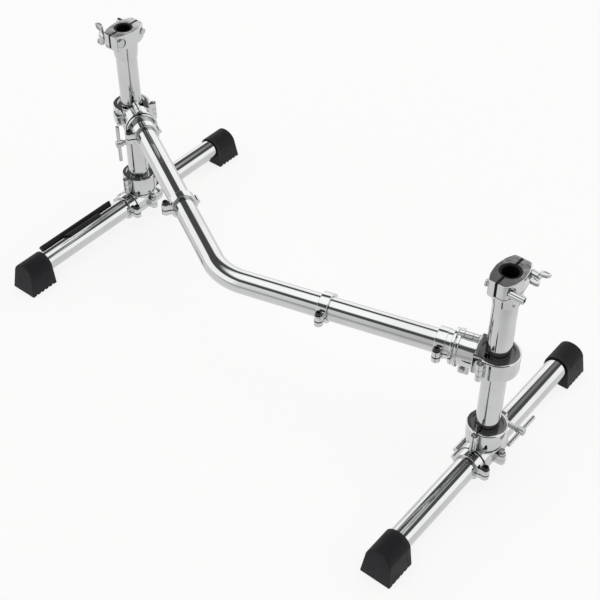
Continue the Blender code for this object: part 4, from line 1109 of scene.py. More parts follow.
@dataclass
class BarClamp:
    """The clamp that joins the crossbar's end to a post; X runs from the post along the bar."""

    side: Side
    ring_radius: float = 34.0 * MM
    ring_half: float = 17.0 * MM
    ring_edge: float = 16.0 * MM
    recess_radius: float = 25.5 * MM
    recess_depth: float = 3.0 * MM
    hinge_at: Point = (16.0 * MM, 36.0 * MM)
    web_root: float = 26.0 * MM
    ear_reach: float = 37.5 * MM
    ear_root: float = 20.0 * MM
    ear_half: float = 9.0 * MM
    ear_start: float = 4.0 * MM
    bolt_reach: float = 33.5 * MM
    bolt_radius: float = 2.2 * MM
    bolt_seat: float = 28.0 * MM
    bolt_tip: float = 6.0 * MM
    block_start: float = 10.0 * MM
    block_end: float = 31.5 * MM
    block_half_width: float = 27.0 * MM
    block_half_height: float = 16.8 * MM
    socket_start: float = 31.0 * MM
    socket_root: float = 29.0 * MM
    socket_end: float = 60.0 * MM
    knuckle_start: float = 38.0 * MM
    knuckle_end: float = 52.0 * MM
    sleeve_radius: float = 26.0 * MM
    flange_radius: float = 30.0 * MM
    flange_start: float = 55.5 * MM
    hinge_height: float = 30.0 * MM
    web_low: float = 20.0 * MM
    screw_along: float = 48.0 * MM
    screw_drop: float = 33.5 * MM
    screw_ear: Point = (38.0 * MM, 55.0 * MM)
    screw_ear_drop: float = 43.0 * MM
    screw_ear_thick: float = 10.0 * MM
    edge: float = 1.4 * MM
    rim: float = 3.2 * MM

    def recesses(self) -> list[Step]:
        """The sunken rings round the post, above and below."""
        start = self.ring_half - self.recess_depth
        end = self.ring_half + OVER
        return [cut(rod(self.recess_radius, start, end)), cut(rod(self.recess_radius, -end, -start))]

    def socket_ear(self, side: int) -> bpy.types.Object:
        """The ear of the socket on one side of its split, for the screw."""
        low, high = sorted((-side * BITE, side * self.screw_ear_thick))
        start, end = self.screw_ear
        return block((start, low, -self.screw_ear_drop), (end, high, -self.sleeve_radius + BITE), 2 * MM)

    def bolt_hole(self) -> Step:
        """The hole for the ring's bolt through both its ears."""
        return cut(rod(self.bolt_radius + 2 * GAP, 0.0, FAR, Axis.X, (-self.bolt_reach, 0.0)))

    def body(self) -> bpy.types.Mesh:
        """The casting: a cradle against the post and the fixed half of the socket."""
        low, middle, high = thirds(-self.ring_half, self.ring_half)
        hinge = (0.0, self.hinge_height)
        width = self.block_half_width
        height = self.block_half_height
        ear_low = (self.ring_edge - BITE, -self.ear_reach, -self.ear_half)
        web_low = (self.ring_edge - BITE, self.web_root, -self.ring_half + INSET)
        web_high = (self.hinge_at[0] + KNUCKLE - INSET, self.hinge_at[1] + INSET, self.ring_half - INSET)
        socket_web = block(
            (self.socket_start + OVER, SPLIT + GAP, self.web_low),
            (self.socket_end - OVER, KNUCKLE - INSET, self.hinge_height + INSET),
        )
        screw_at = (self.screw_along, -self.screw_drop)
        return shaped(
            rod(self.ring_radius, -self.ring_half, self.ring_half, edge=self.rim),
            join(block((self.block_start, -width, -height), (self.block_end, width, height), self.edge)),
            join(rod(self.sleeve_radius, self.socket_root, self.socket_end, Axis.X, edge=1.0 * MM)),
            join(rod(self.flange_radius, self.flange_start, self.socket_end + GAP, Axis.X, edge=1.2 * MM)),
            join(block(ear_low, (self.bolt_seat, -self.ear_root, self.ear_half), 2 * MM)),
            join(block(web_low, web_high)),
            *self.recesses(),
            cut(block((-FAR, -FAR, -FAR), (self.ring_edge + GAP, FAR, FAR))),
            join(self.socket_ear(1)),
            cut(rod(BORE_RADIUS, -FAR, FAR)),
            cut(rod(BORE_RADIUS, self.socket_start - GAP, FAR + OVER, Axis.X)),
            cut(block((self.socket_start, -FAR, -FAR), (FAR + BITE, SPLIT, FAR))),
            join(socket_web),
            cut(rod(KNUCKLE + GAP, self.knuckle_start, self.knuckle_end, Axis.X, hinge)),
            join(rod(KNUCKLE, self.socket_start - OVER, self.knuckle_start - GAP / 2, Axis.X, hinge, 0.4 * MM)),
            join(rod(KNUCKLE, self.knuckle_end + GAP / 2, self.socket_end - GAP, Axis.X, hinge, 0.4 * MM)),
            cut(rod(PIN + GAP, self.socket_start, FAR + OVER, Axis.X, hinge)),
            cut(rod(THandle().screw_radius + 2 * GAP, -FAR, FAR, Axis.Y, screw_at)),
            cut(rod(KNUCKLE + GAP, middle[0], middle[1], at=self.hinge_at)),
            join(rod(KNUCKLE, low[0] + 2 * GAP, low[1] - GAP / 2, at=self.hinge_at, edge=0.4 * MM)),
            join(rod(KNUCKLE, high[0] + GAP / 2, high[1] - 2 * GAP, at=self.hinge_at, edge=0.4 * MM)),
            join(rod(PIN, -self.ring_half + GAP, self.ring_half - GAP, at=self.hinge_at, edge=0.4 * MM)),
            self.bolt_hole(),
        )

    def strap(self) -> bpy.types.Mesh:
        """The U-shaped strap round the post."""
        low, middle, high = thirds(-self.ring_half, self.ring_half)
        web_low = (self.hinge_at[0] - KNUCKLE + INSET, self.web_root, middle[0] + 2 * GAP)
        web_high = (self.ring_edge - INSET, self.hinge_at[1] + INSET, middle[1] - 2 * GAP)
        ear_low = (self.ear_start, -self.ear_reach, -self.ear_half)
        return shaped(
            rod(self.ring_radius, -self.ring_half, self.ring_half, edge=self.rim),
            join(block(ear_low, (self.ring_edge + BITE, -self.ear_root, self.ear_half), 2 * MM)),
            *self.recesses(),
            cut(block((self.ring_edge - GAP, -FAR, -FAR), (FAR, FAR, FAR))),
            cut(rod(BORE_RADIUS, -FAR, FAR)),
            cut(block((2 * OVER, -BORE_RADIUS - GAP / 2, -FAR), (FAR, BORE_RADIUS + GAP / 2, FAR))),
            cut(rod(KNUCKLE + GAP, low[0] - OVER, low[1] + GAP, at=self.hinge_at)),
            cut(rod(KNUCKLE + GAP, high[0] - GAP, high[1] + OVER, at=self.hinge_at)),
            join(block(web_low, web_high)),
            join(rod(KNUCKLE, middle[0] + GAP, middle[1] - GAP, at=self.hinge_at, edge=0.4 * MM)),
            cut(rod(PIN + GAP, -self.ring_half, self.ring_half, at=self.hinge_at)),
            self.bolt_hole(),
        )

    def jaw(self) -> bpy.types.Mesh:
        """The moving half of the socket, on -Y."""
        hinge = (0.0, self.hinge_height)
        web_low = (self.knuckle_start + OVER, -KNUCKLE + INSET, self.web_low)
        web_high = (self.knuckle_end - OVER, -SPLIT - GAP, self.hinge_height + INSET)
        start = self.knuckle_start + 2 * GAP
        end = self.knuckle_end - 2 * GAP
        return shaped(
            rod(self.sleeve_radius, self.socket_start + GAP, self.socket_end, Axis.X, edge=1.0 * MM),
            join(rod(self.flange_radius, self.flange_start, self.socket_end + GAP, Axis.X, edge=1.2 * MM)),
            join(self.socket_ear(-1)),
            cut(rod(BORE_RADIUS, BITE, FAR + OVER, Axis.X)),
            cut(block((0.0, -SPLIT, -FAR), (FAR + BITE, FAR, FAR))),
            cut(rod(KNUCKLE + GAP, BITE, self.knuckle_start + GAP, Axis.X, hinge)),
            cut(rod(KNUCKLE + GAP, self.knuckle_end - GAP, FAR + 2 * OVER, Axis.X, hinge)),
            join(block(web_low, web_high)),
            join(rod(KNUCKLE, start, end, Axis.X, hinge, 0.4 * MM)),
            cut(rod(PIN + GAP, self.socket_start, FAR, Axis.X, hinge)),
            cut(rod(THandle().screw_radius + GAP, -FAR, 0.0, Axis.Y, (self.screw_along, -self.screw_drop))),
        )

    def frame(self) -> Matrix:
        """The clamp's frame, at the bar's height on the post."""
        turn = {Side.RIGHT: math.pi, Side.LEFT: 2 * math.pi - BAR_BEND}[self.side]
        return post_place(self.side) @ Matrix.Translation((0.0, 0.0, BAR_HEIGHT)) @ Matrix.Rotation(turn, 4, "Z")

    def dress(self, shop: Workshop, shapes: dict[str, bpy.types.Mesh]) -> None:
        """Places the clamp's pieces and its T-handle.

        Args:
            shop: Makes the pieces.
            shapes: The shared meshes.
        """
        name = self.side.value
        body = f"{name}_bar_clamp"
        place = self.frame()
        shop.place(f"{name}_bar_clamp_body", shapes["bar_clamp_body"], place, body, Finish.CAST)
        shop.place(f"{name}_post_strap", shapes["post_strap"], place, body, Finish.CAST)
        shop.place(f"{name}_bar_jaw", shapes["bar_jaw"], place, body, Finish.CAST)
        shop.place(f"{name}_bar_jaw_pin", shapes["bar_jaw_pin"], place, body, Finish.STEEL)
        bolt = place @ Matrix.Translation((0.0, -self.bolt_reach, 0.0)) @ Axis.X.value
        shop.place(f"{name}_post_strap_bolt", shapes["strap_bolt"], bolt, body, Finish.STEEL)
        turn = {Side.RIGHT: 0.0, Side.LEFT: math.radians(90.0)}[self.side]
        screw = Matrix.Translation((self.screw_along, 14 * MM, -self.screw_drop))
        spin = Matrix.Rotation(turn, 4, "Y") @ Matrix.Rotation(math.radians(90.0), 4, "X")
        shop.place(f"{name}_bar_handle", shapes["handle"], place @ screw @ spin, f"{name}_bar_handle", Finish.STEEL)


@dataclass
class Crossbar:
    """The bent tube and its four collars."""

    right_arm: float = 450.0 * MM
    left_arm: float = 493.6 * MM
    bend_radius: float = 95.0 * MM
    end: float = 31.0 * MM
    steps: int = 96
    bend_steps: int = 36
    keyed_at: float = 84.0 * MM
    right_free_at: float = 271.0 * MM
    left_free_at: float = 301.0 * MM

    def mesh(self) -> bpy.types.Mesh:
        """Extrudes and spins a ring of faces along the bar, in the right post's frame."""
        tangent = self.bend_radius * math.tan(BAR_BEND / 2)
        shape = bmesh.new()
        outer = bmesh.ops.create_circle(shape, segments=self.steps, radius=TUBE_RADIUS)["verts"]
        inner = bmesh.ops.create_circle(shape, segments=self.steps, radius=TUBE_RADIUS - TUBE_WALL)["verts"]
        edges = {edge for vert in (*outer, *inner) for edge in vert.link_edges}
        section = bmesh.ops.bridge_loops(shape, edges=list(edges))["faces"]
        upright = Matrix.Translation((-self.end, 0.0, 0.0)) @ Axis.X.value
        bmesh.ops.transform(shape, matrix=upright, verts=shape.verts)
        front = extruded(shape, section, Vector((-(self.right_arm - tangent - self.end), 0.0, 0.0)), True)
        centre = (-(self.right_arm - tangent), self.bend_radius, 0.0)
        made = bmesh.ops.spin(
            shape,
            geom=front,
            cent=centre,
            axis=(0.0, 0.0, 1.0),
            dvec=(0.0, 0.0, 0.0),
            angle=-BAR_BEND,
            steps=self.bend_steps,
            use_merge=False,
            use_duplicate=False,
        )
        clear(shape, front)
        front = [item for item in made["geom_last"] if isinstance(item, bmesh.types.BMFace)]
        heading = Vector((-math.cos(BAR_BEND), math.sin(BAR_BEND), 0.0))
        extruded(shape, front, heading * (self.left_arm - tangent - self.end), False)
        return shaped(store(shape, Matrix.Identity(4)))

    def dress(self, shop: Workshop, shapes: dict[str, bpy.types.Mesh]) -> None:
        """Places the bar and its collars.

        Args:
            shop: Makes the pieces.
            shapes: The shared meshes.
        """
        place = post_place(Side.RIGHT) @ Matrix.Translation((0.0, 0.0, BAR_HEIGHT))
        shop.place("crossbar", shapes["crossbar"], place, "crossbar", Finish.TUBE)
        for side, free_at in ((Side.RIGHT, self.right_free_at), (Side.LEFT, self.left_free_at)):
            far = side is Side.RIGHT
            kind = "far" if far else "near"
            base = BarClamp(side).frame()
            for name, shape, along in (
                (f"{side.value}_keyed_collar", f"{kind}_keyed_collar", self.keyed_at),
                (f"{side.value}_free_collar", f"{kind}_collar", free_at),
            ):
                at = base @ Matrix.Translation((along, 0.0, 0.0))
                shop.place(name, shapes[shape], at, "crossbar", Finish.CAST)
                reach = SplitCollar(-1).bolt_reach * (1 if far else -1)
                bolt = at @ Matrix.Translation((0.0, reach, 0.0))
                shop.place(f"{name}_bolt", shapes["cap_bolt"], bolt, "crossbar", Finish.DARK)


@dataclass
class TopClamp:
    """The clamp on top of a post: a neck, a fixed jaw on +Y and a moving jaw on -Y round a bushing."""

    side: Side
    neck_radius: float = 20.6 * MM
    neck_top_radius: float = 23.8 * MM
    neck_low: float = 350.0 * MM
    slit_high: float = 366.0 * MM
    set_screw_height: float = 358.0 * MM
    head_low: float = 377.0 * MM
    jaw_low: float = 381.0 * MM
    jaw_high: float = 405.0 * MM
    half_length: float = 35.0 * MM
    half_end: float = 14.0 * MM
    half_width: float = 24.0 * MM
    gap_low: float = -1.2 * MM
    gap_high: float = 3.2 * MM
    bushing_radius: float = 16.5 * MM
    arm_bore: float = 12.7 * MM
    bolt_height: float = 392.0 * MM
    wing_reach: float = 26.0 * MM
    key_reach: float = -27.0 * MM
    seat: float = 17.3 * MM
    spot_radius: float = 9.5 * MM
    bolt_hole: float = 4.3 * MM
    fin_root: float = 14.0 * MM
    fin_reach: float = 34.0 * MM
    post_top: float = 368.0 * MM

    def outline(self) -> list[Point]:
        """The plan of the jaws: an eye shape with blunt ends."""
        shoulder = 20 * MM
        right = [
            (self.half_length, -self.half_end),
            (self.half_length, self.half_end),
            (shoulder, 21 * MM),
            (0.0, self.half_width),
            (-shoulder, 21 * MM),
        ]
        return eased([*right, *((-x, -y) for x, y in right)], 5 * MM, steps=4)

    def bolt_holes(self, toward: float) -> list[Step]:
        """The spot faces and holes of both bolts.

        Args:
            toward: 1 for the fixed jaw and -1 for the moving one.

        Returns:
            The cuts.
        """
        steps = []
        for reach in (self.wing_reach, self.key_reach):
            at = (reach, self.bolt_height)
            spot = sorted((toward * (self.seat - GAP), toward * FAR))
            hole = sorted((0.0, toward * FAR))
            steps.append(cut(rod(self.spot_radius, spot[0], spot[1], Axis.Y, at)))
            steps.append(cut(rod(self.bolt_hole, hole[0], hole[1], Axis.Y, at)))
        return steps

    def set_screws(self) -> list[Step]:
        """Two small socket screws in the neck, one on each side of its slit."""
        slope = (self.neck_top_radius - self.neck_radius) / (self.jaw_low - self.neck_low)
        face = self.neck_radius + slope * (self.set_screw_height - self.neck_low)
        at = (0.0, self.set_screw_height)
        steps = []
        for degrees in (-122.0, -60.0):
            turn = Matrix.Rotation(math.radians(degrees), 4, "Z")
            screw = rod(2.8 * MM, face - 1.2 * MM, face + 0.8 * MM, Axis.X, at, 0.4 * MM)
            screw.data.transform(turn)
            socket = rod(1.5 * MM, face - 0.2 * MM, face + 2 * MM, Axis.X, at, steps=6)
            socket.data.transform(turn)
            steps += [join(screw), cut(socket)]
        return steps

    def body(self) -> bpy.types.Mesh:
        """The flared neck and the fixed jaw."""
        neck = [
            (0.0, self.neck_low),
            (self.neck_radius, self.neck_low),
            (self.neck_top_radius, self.jaw_low - GAP),
            (0.0, self.jaw_low - GAP),
        ]
        slit = block((-OVER, -FAR, self.neck_low - OVER), (OVER, -15 * MM, self.slit_high))
        return shaped(
            spun(eased(neck, 1.0 * MM, closed=False), False, 72, Matrix.Identity(4)),
            join(plate(self.outline(), self.head_low, self.jaw_high, 1.4 * MM)),
            cut(block((-FAR, -FAR, self.jaw_low - GAP), (FAR, self.gap_high, 1.0))),
            cut(rod(BORE_RADIUS, self.neck_low - OVER, self.post_top + GAP)),
            cut(rod(self.arm_bore + OVER, self.post_top, self.jaw_high + OVER)),
            cut(rod(self.bushing_radius + GAP, self.jaw_low - GAP, self.jaw_high + OVER)),
            *self.bolt_holes(1.0),
            *self.set_screws(),
            cut(slit),
        )

    def jaw(self) -> bpy.types.Mesh:
        """The moving jaw."""
        return shaped(
            plate(self.outline(), self.jaw_low, self.jaw_high, 1.4 * MM),
            cut(block((-FAR, self.gap_low, 0.0), (FAR, FAR, 1.0))),
            cut(rod(self.bushing_radius + GAP, self.jaw_low - 1 * MM, self.jaw_high + 1 * MM)),
            *self.bolt_holes(-1.0),
        )

    def bushing(self, fixed: bool) -> bpy.types.Mesh:
        """Half of the plastic bushing.

        Args:
            fixed: Whether it sits in the fixed jaw.

        Returns:
            Its mesh.
        """
        middle = (self.gap_low + self.gap_high) / 2
        face = self.gap_high - GAP if fixed else self.gap_low + GAP
        low, high = sorted((middle, face))
        bottom = self.jaw_low + GAP
        steps = []
        for side, bolt in ((1, self.wing_reach), (-1, self.key_reach)):
            start, end = sorted((side * self.fin_root, side * self.fin_reach))
            steps.append(join(block((start, low, bottom + GAP), (end, high, self.jaw_high - GAP))))
            steps.append(cut(rod(self.bolt_hole, -FAR, FAR, Axis.Y, (bolt, self.bolt_height))))
        if fixed:
            rest = block((-FAR, -FAR, 0.0), (FAR, middle + GAP, 1.0))
        else:
            rest = block((-FAR, middle - GAP, 0.0), (FAR, FAR, 1.0))
        lead = spun(
            [
                (0.0, self.jaw_high + 1 * MM),
                (self.arm_bore + 2.4 * MM, self.jaw_high + 1 * MM),
                (self.arm_bore - 0.2 * MM, self.jaw_high - 2 * MM),
                (0.0, self.jaw_high - 2 * MM),
            ],
            False,
            72,
            Matrix.Identity(4),
        )
        return shaped(
            rod(self.bushing_radius, bottom, self.jaw_high, edge=0.5 * MM),
            *steps,
            cut(rod(self.arm_bore, bottom - 1 * MM, self.jaw_high + 1 * MM)),
            cut(lead),
            cut(rest),
        )

    def through_bolt(self, head_radius: float, head: float, extra: float) -> bpy.types.Mesh:
        """A bolt along Z from its head's seat.

        Args:
            head_radius: The round head's radius.
            head: The head's height.
            extra: How far the shank passes the far seat.

        Returns:
            Its mesh.
        """
        end = 2 * self.seat + extra
        shank = rod(3.8 * MM, -1 * MM, end, edge=0.6 * MM)
        cap = rod(head_radius, -head, -GAP, edge=1.2 * MM)
        return shaped(shank, join(cap))

    def key_nut(self) -> bpy.types.Mesh:
        """A long nut with a square socket in its end."""
        return shaped(
            rod(6.0 * MM, 0.0, 23 * MM, edge=0.8 * MM),
            cut(rod(3.9 * MM, -1 * MM, 14 * MM)),
            cut(block((-3 * MM, -3 * MM, 16 * MM), (3 * MM, 3 * MM, 30 * MM))),
        )

    def wing_nut(self) -> bpy.types.Mesh:
        """A wing nut on Z with two rounded blades along X, each with a sunken face."""
        blade = [(4, 12), (4, 7), (18, 8), (21, 11), (21, 21), (18, 24), (10, 21), (6, 12)]
        panel = [(10, 11), (16, 11), (18, 13), (18, 19.5), (16.5, 20.5), (12, 18.5)]
        half = 2.4 * MM
        floor = 1.7 * MM
        turn = Matrix.Rotation(math.radians(90.0), 4, "X")
        steps = []
        for side in (1, -1):
            outline = [(side * x * MM, z * MM) for x, z in blade]
            sunken = eased([(side * x * MM, z * MM) for x, z in panel], 1.5 * MM)
            steps.append(join(plate(eased(outline, 2.2 * MM), -half, half, 0.8 * MM, turn)))
            steps.append(cut(plate(sunken, floor, 2 * half, place=turn)))
            steps.append(cut(plate(sunken, -2 * half, -floor, place=turn)))
        hub = [(0.0, 0.0), (8.0 * MM, 0.0), (8.0 * MM, 4 * MM), (6.6 * MM, 12.6 * MM), (0.0, 13 * MM)]
        base = spun(eased(hub, 0.8 * MM, closed=False), False, 40, Matrix.Identity(4))
        return shaped(base, *steps, cut(rod(3.9 * MM, -OVER, FAR)))

    def dress(self, shop: Workshop, shapes: dict[str, bpy.types.Mesh]) -> None:
        """Places the clamp's pieces.

        Args:
            shop: Makes the pieces.
            shapes: The shared meshes.
        """
        name = self.side.value
        turn = LEG_TURN + (0.0 if self.side is Side.RIGHT else math.pi)
        place = post_place(self.side) @ Matrix.Rotation(turn, 4, "Z")
        clamp = f"{name}_top_clamp"
        jaw = f"{name}_top_jaw"
        shop.place(f"{name}_top_clamp_body", shapes["top_clamp_body"], place, clamp, Finish.CAST)
        shop.place(f"{name}_fixed_bushing", shapes["fixed_bushing"], place, clamp, Finish.PLASTIC)
        shop.place(f"{name}_top_jaw", shapes["top_jaw"], place, jaw, Finish.CAST)
        shop.place(f"{name}_moving_bushing", shapes["moving_bushing"], place, jaw, Finish.PLASTIC)
        outward = Matrix.Rotation(math.radians(90.0), 4, "X")
        for piece, reach in (("wing_bolt", self.wing_reach), ("key_bolt", self.key_reach)):
            at = place @ Matrix.Translation((reach, self.seat, self.bolt_height)) @ outward
            shop.place(f"{name}_{piece}", shapes[piece], at, clamp, Finish.STEEL)
        nut = place @ Matrix.Translation((self.wing_reach, -self.seat, self.bolt_height))
        spin = Matrix.Rotation(math.radians({Side.RIGHT: 12.0, Side.LEFT: 90.0}[self.side]), 4, "Y")
        shop.place(f"{name}_wing_nut", shapes["wing_nut"], nut @ spin @ outward, f"{name}_wing_nut", Finish.STEEL)
        key = place @ Matrix.Translation((self.key_reach, -self.seat, self.bolt_height)) @ outward
        shop.place(f"{name}_key_nut", shapes["key_nut"], key, jaw, Finish.STEEL)


@dataclass
class CableClip:
    """The snap-on clip on the left leg, in the frame of the leg tube's axis under the post."""

    rail: Point = (28.0, 58.0)
    flap: Point = (50.0, 98.0)
    hook: Point = (-60.0, 34.0)
    rail_span: Point = (-243.0 * MM, -70.0 * MM)
    flap_span: Point = (-201.0 * MM, -109.0 * MM)
    inner: float = 19.4 * MM
    skin: float = 22.4 * MM
    rail_outer: float = 27.5 * MM

    def shell(self, degrees: Point, span: Point, outer: float, edge: float) -> bpy.types.Object:
        """Part of a tube between two angles, from the far side over the top.

        Args:
            degrees: The two angles.
            span: Its ends along the leg.
            outer: Its outer radius.
            edge: Rounding of its ends.

        Returns:
            The helper object.
        """
        start, end = (math.radians(value) for value in degrees)
        steps = max(6, round((end - start) / math.radians(5.0)))
        angles = [start + (end - start) * step / steps for step in range(steps + 1)]
        points = [(self.inner * math.cos(a), self.inner * math.sin(a)) for a in angles]
        points += [(outer * math.cos(a), outer * math.sin(a)) for a in reversed(angles)]
        along = Matrix(((0, 0, 1, 0), (1, 0, 0, 0), (0, 1, 0, 0), (0, 0, 0, 1)))
        return plate(points, span[0], span[1], edge, along)

    def mesh(self) -> bpy.types.Mesh:
        """The clip's mesh."""
        slant = block((-40 * MM, -60 * MM, -40 * MM), (0.0, 60 * MM, 60 * MM))
        at = Matrix.Translation((self.flap_span[0], 14 * MM, 0.0)) @ Matrix.Rotation(math.radians(38.0), 4, "Z")
        slant.data.transform(at)
        return shaped(
            self.shell(self.flap, self.flap_span, self.skin, 0.7 * MM),
            cut(slant),
            join(self.shell(self.rail, self.rail_span, self.rail_outer, 1.2 * MM)),
            join(self.shell(self.hook, self.flap_span, self.skin, 0.7 * MM)),
        )

    def dress(self, shop: Workshop, shapes: dict[str, bpy.types.Mesh]) -> None:
        """Places the clip.

        Args:
            shop: Makes the piece.
            shapes: The shared meshes.
        """
        leg = post_place(Side.LEFT) @ Matrix.Rotation(LEG_TURN, 4, "Z") @ Matrix.Translation((0.0, 0.0, LEG_HEIGHT))
        shop.place("cable_clip", shapes["cable_clip"], leg, "cable_clip", Finish.PLASTIC)


def make_shapes() -> dict[str, bpy.types.Mesh]:
    """Builds every shared mesh once.

    Returns:
        The meshes by name.
    """
    leg_clamp = LegClamp(Side.RIGHT)
    bar_clamp = BarClamp(Side.RIGHT)
    top_clamp = TopClamp(Side.RIGHT)
    low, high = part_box("right_post")
    half = Leg(Side.RIGHT).length / 2
    bore = TUBE_RADIUS - TUBE_WALL
    keyed = 13.0 * MM
    return {
        "leg_tube": shaped(ring(bore, TUBE_RADIUS, -half, half, Axis.X, steps=128)),
        "post_tube": shaped(ring(bore, TUBE_RADIUS, low.z, high.z, steps=128)),
        "crossbar": Crossbar().mesh(),
        "foot": Foot().mesh(),
        "near_collar": SplitCollar(-1).mesh(),
        "far_collar": SplitCollar(1).mesh(),
        "near_keyed_collar": SplitCollar(-1, keyed).mesh(),
        "far_keyed_collar": SplitCollar(1, keyed).mesh(),
        "cap_bolt": CapBolt().mesh(),
        "grip_bolt": KeyBolt(-leg_clamp.bolt_drop, leg_clamp.grip_ear_rise).mesh(),
        "strap_bolt": KeyBolt(bar_clamp.bolt_tip, bar_clamp.bolt_seat, bar_clamp.bolt_radius).mesh(),
        "handle": THandle().mesh(),
        "leg_clamp_body": leg_clamp.body(),
        "post_ring_jaw": leg_clamp.ring_jaw(),
        "leg_grip_jaw": leg_clamp.grip_jaw(),
        "bar_clamp_body": bar_clamp.body(),
        "post_strap": bar_clamp.strap(),
        "bar_jaw": bar_clamp.jaw(),
        "bar_jaw_pin": shaped(
            rod(PIN, bar_clamp.socket_start, bar_clamp.socket_end, Axis.X, (0.0, bar_clamp.hinge_height), 0.5 * MM)
        ),
        "top_clamp_body": top_clamp.body(),
        "top_jaw": top_clamp.jaw(),
        "fixed_bushing": top_clamp.bushing(True),
        "moving_bushing": top_clamp.bushing(False),
        "wing_bolt": top_clamp.through_bolt(7.5 * MM, 4 * MM, 16 * MM),
        "key_bolt": top_clamp.through_bolt(6.0 * MM, 3.5 * MM, 12 * MM),
        "wing_nut": top_clamp.wing_nut(),
        "key_nut": top_clamp.key_nut(),
        "cable_clip": CableClip().mesh(),
    }


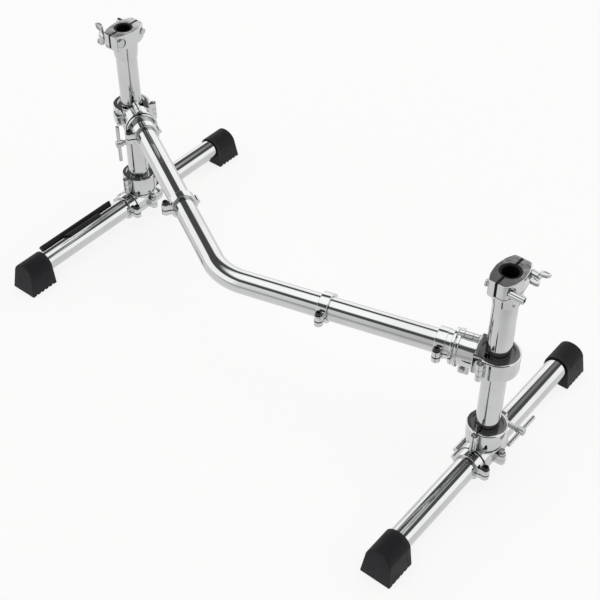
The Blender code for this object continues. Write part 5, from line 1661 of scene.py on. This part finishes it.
@dataclass(frozen=True)
class Studio:
    """The camera, the pale floor and the light that the chrome mirrors."""

    lens: float = 74.18
    pitch: float = math.radians(47.03)
    heading: float = math.radians(23.78)
    eye: Corner = (0.6515, -1.4289, 1.5271)
    floor_radius: float = 12.0
    floor_fade: Point = (0.5, 0.9)
    white: float = 1.0
    band_top: float = 0.378
    back_turn: float = math.radians(-6.0)
    left_turn: float = math.radians(50.0)
    band_rise_back: float = 0.067
    band_drop_left: float = 0.1
    band_drop_front: float = 0.045
    band_fade: float = 0.045
    wall: float = 1.5
    wall_front: float = 0.55
    gloom: float = 0.1
    gloom_back: float = 0.3
    cap: float = 1.6
    cap_rise_front: float = 0.078

    def camera(self) -> None:
        """Adds the camera at the photograph's viewing angle."""
        data = bpy.data.cameras.new("camera")
        data.lens = self.lens
        data.clip_end = 100.0
        obj = bpy.data.objects.new("camera", data)
        obj.location = self.eye
        obj.rotation_euler = (self.pitch, 0.0, self.heading)
        bpy.context.scene.collection.objects.link(obj)
        bpy.context.scene.camera = obj

    def floor(self) -> None:
        """Adds the floor: white in the picture, with the rack's soft shadow kept."""
        shape = bmesh.new()
        bmesh.ops.create_circle(shape, cap_ends=True, segments=96, radius=self.floor_radius)
        obj = store(shape, Matrix.Translation((0.0, 0.0, -0.2 * MM)))
        obj.name = "studio_floor"
        material = bpy.data.materials.new("studio_floor")
        material.use_nodes = True
        graph = Graph(material.node_tree)
        material.node_tree.nodes.clear()
        rays = graph.node("ShaderNodeLightPath")
        seen = graph.value("MAXIMUM", rays.outputs["Is Camera Ray"], rays.outputs["Is Transmission Ray"])
        seen = graph.value("MAXIMUM", seen, rays.outputs["Is Glossy Ray"])
        place = graph.node("ShaderNodeTexCoord")
        parts = graph.node("ShaderNodeSeparateXYZ")
        graph.link(place.outputs["Object"], parts.inputs["Vector"])
        nearer = graph.value("MULTIPLY", parts.outputs["X"], math.sin(self.heading))
        nearer = graph.value("MULTIPLY_ADD", parts.outputs["Y"], -math.cos(self.heading), nearer)
        dim = graph.stops(nearer, ((self.floor_fade[0], 0.0), (self.floor_fade[1], 1.0)))
        dim = graph.value("MULTIPLY", dim, rays.outputs["Is Glossy Ray"])
        glow = graph.node("ShaderNodeEmission")
        glow.inputs["Color"].default_value = (1.0, 1.0, 0.995, 1.0)
        graph.link(graph.value("MULTIPLY_ADD", dim, -0.5 * self.white, self.white), glow.inputs["Strength"])
        paint = graph.node("ShaderNodeBsdfDiffuse")
        paint.inputs["Color"].default_value = (0.9, 0.9, 0.9, 1.0)
        mix = graph.node("ShaderNodeMixShader")
        graph.link(graph.value("MULTIPLY", seen, 0.82), mix.inputs["Fac"])
        graph.link(paint.outputs["BSDF"], mix.inputs[1])
        graph.link(glow.outputs["Emission"], mix.inputs[2])
        out = graph.node("ShaderNodeOutputMaterial")
        graph.link(mix.outputs["Shader"], out.inputs["Surface"])
        obj.data.materials.append(material)

    @staticmethod
    def toward(
        graph: Graph, parts: bpy.types.Node, level: bpy.types.NodeSocket, turn: float
    ) -> bpy.types.NodeSocket:
        """How far a direction points one way, seen from above.

        Args:
            graph: The world's graph.
            parts: The node with the direction's X, Y and Z.
            level: The direction's length in plan.
            turn: The way, as an angle left of +Y.

        Returns:
            The cosine of the angle between the two.
        """
        along = graph.value("MULTIPLY", parts.outputs["X"], -math.sin(turn))
        along = graph.value("MULTIPLY_ADD", parts.outputs["Y"], math.cos(turn), along)
        return graph.value("DIVIDE", along, level)

    def world(self) -> None:
        """Lights the scene with a pale tent: bright round the sides, dark between there and the top light."""
        world = bpy.data.worlds.new("studio")
        bpy.context.scene.world = world
        world.use_nodes = True
        graph = Graph(world.node_tree)
        tree = world.node_tree
        back = tree.nodes["Background"]
        place = graph.node("ShaderNodeTexCoord")
        parts = graph.node("ShaderNodeSeparateXYZ")
        graph.link(place.outputs["Generated"], parts.inputs["Vector"])
        height = graph.value("DIVIDE", graph.value("ARCSINE", parts.outputs["Z"]), math.pi / 2)
        level = graph.value("SQRT", graph.value("SUBTRACT", 1.0001, graph.value("POWER", parts.outputs["Z"], 2.0)))
        behind = self.toward(graph, parts, level, self.heading + math.pi)
        back_part = graph.stops(self.toward(graph, parts, level, self.back_turn), ((0.93, 0.0), (0.99, 1.0)))
        left_part = graph.stops(self.toward(graph, parts, level, self.left_turn), ((0.9, 0.0), (0.98, 1.0)))
        front_part = graph.stops(behind, ((0.55, 0.0), (0.9, 1.0)))
        band_top = graph.value("MULTIPLY_ADD", back_part, self.band_rise_back, self.band_top)
        band_top = graph.value("MULTIPLY_ADD", left_part, -self.band_drop_left, band_top)
        band_top = graph.value("MULTIPLY_ADD", front_part, -self.band_drop_front, band_top)
        above = graph.value("DIVIDE", graph.value("SUBTRACT", height, band_top), self.band_fade)
        band = graph.stops(above, ((0.0, 1.0), (1.0, 0.0)))
        wall = graph.value("MULTIPLY_ADD", front_part, self.wall_front - self.wall, self.wall)
        shifted = graph.value("MULTIPLY_ADD", front_part, -self.cap_rise_front, height)
        cap = graph.stops(shifted, ((0.58, 0.06), (0.61, 0.28), (0.68, 1.0)))
        gloom = graph.value("MULTIPLY_ADD", back_part, self.gloom_back - self.gloom, self.gloom)
        room = graph.value("MAXIMUM", graph.value("MULTIPLY", cap, self.cap), gloom)
        upper = graph.value("MULTIPLY", room, graph.value("SUBTRACT", 1.0, band))
        light = graph.value("MULTIPLY_ADD", wall, band, upper)
        sky = graph.stops(height, ((0.0, 0.0), (0.01, 1.0)))
        lit = graph.value("MULTIPLY", light, sky)
        under = graph.value("MULTIPLY", graph.value("SUBTRACT", 1.0, sky), 0.8)
        total = graph.value("ADD", lit, under)
        rays = graph.node("ShaderNodeLightPath")
        plain = graph.value("MULTIPLY", rays.outputs["Is Camera Ray"], self.white)
        rest = graph.value("SUBTRACT", 1.0, rays.outputs["Is Camera Ray"])
        strength = graph.value("MULTIPLY_ADD", total, rest, plain)
        graph.link(strength, back.inputs["Strength"])
        back.inputs["Color"].default_value = (1.0, 1.0, 1.0, 1.0)

    def build(self) -> None:
        """Sets up the whole studio and the plain view transform."""
        bpy.context.scene.view_settings.view_transform = "Standard"
        self.camera()
        self.floor()
        self.world()


def dress_posts(shop: Workshop, shapes: dict[str, bpy.types.Mesh]) -> None:
    """Places the two post tubes.

    Args:
        shop: Makes the pieces.
        shapes: The shared meshes.
    """
    for side in Side:
        name = f"{side.value}_post"
        shop.place(name, shapes["post_tube"], post_place(side), name, Finish.TUBE)


def main() -> None:
    """Builds the studio and dresses the rack, sub-assembly by sub-assembly."""
    logging.basicConfig(level=logging.INFO, format="%(name)s: %(message)s")
    Studio().build()
    shop = Workshop(make_finishes())
    shapes = make_shapes()
    dress_posts(shop, shapes)
    Crossbar().dress(shop, shapes)
    makers: list[Callable[[Side], Leg | LegClamp | BarClamp | TopClamp]] = [Leg, LegClamp, BarClamp, TopClamp]
    for side in Side:
        for maker in makers:
            maker(side).dress(shop, shapes)
    CableClip().dress(shop, shapes)
    for mesh in shapes.values():
        bpy.data.meshes.remove(mesh)


if __name__ == "__main__":
    main()
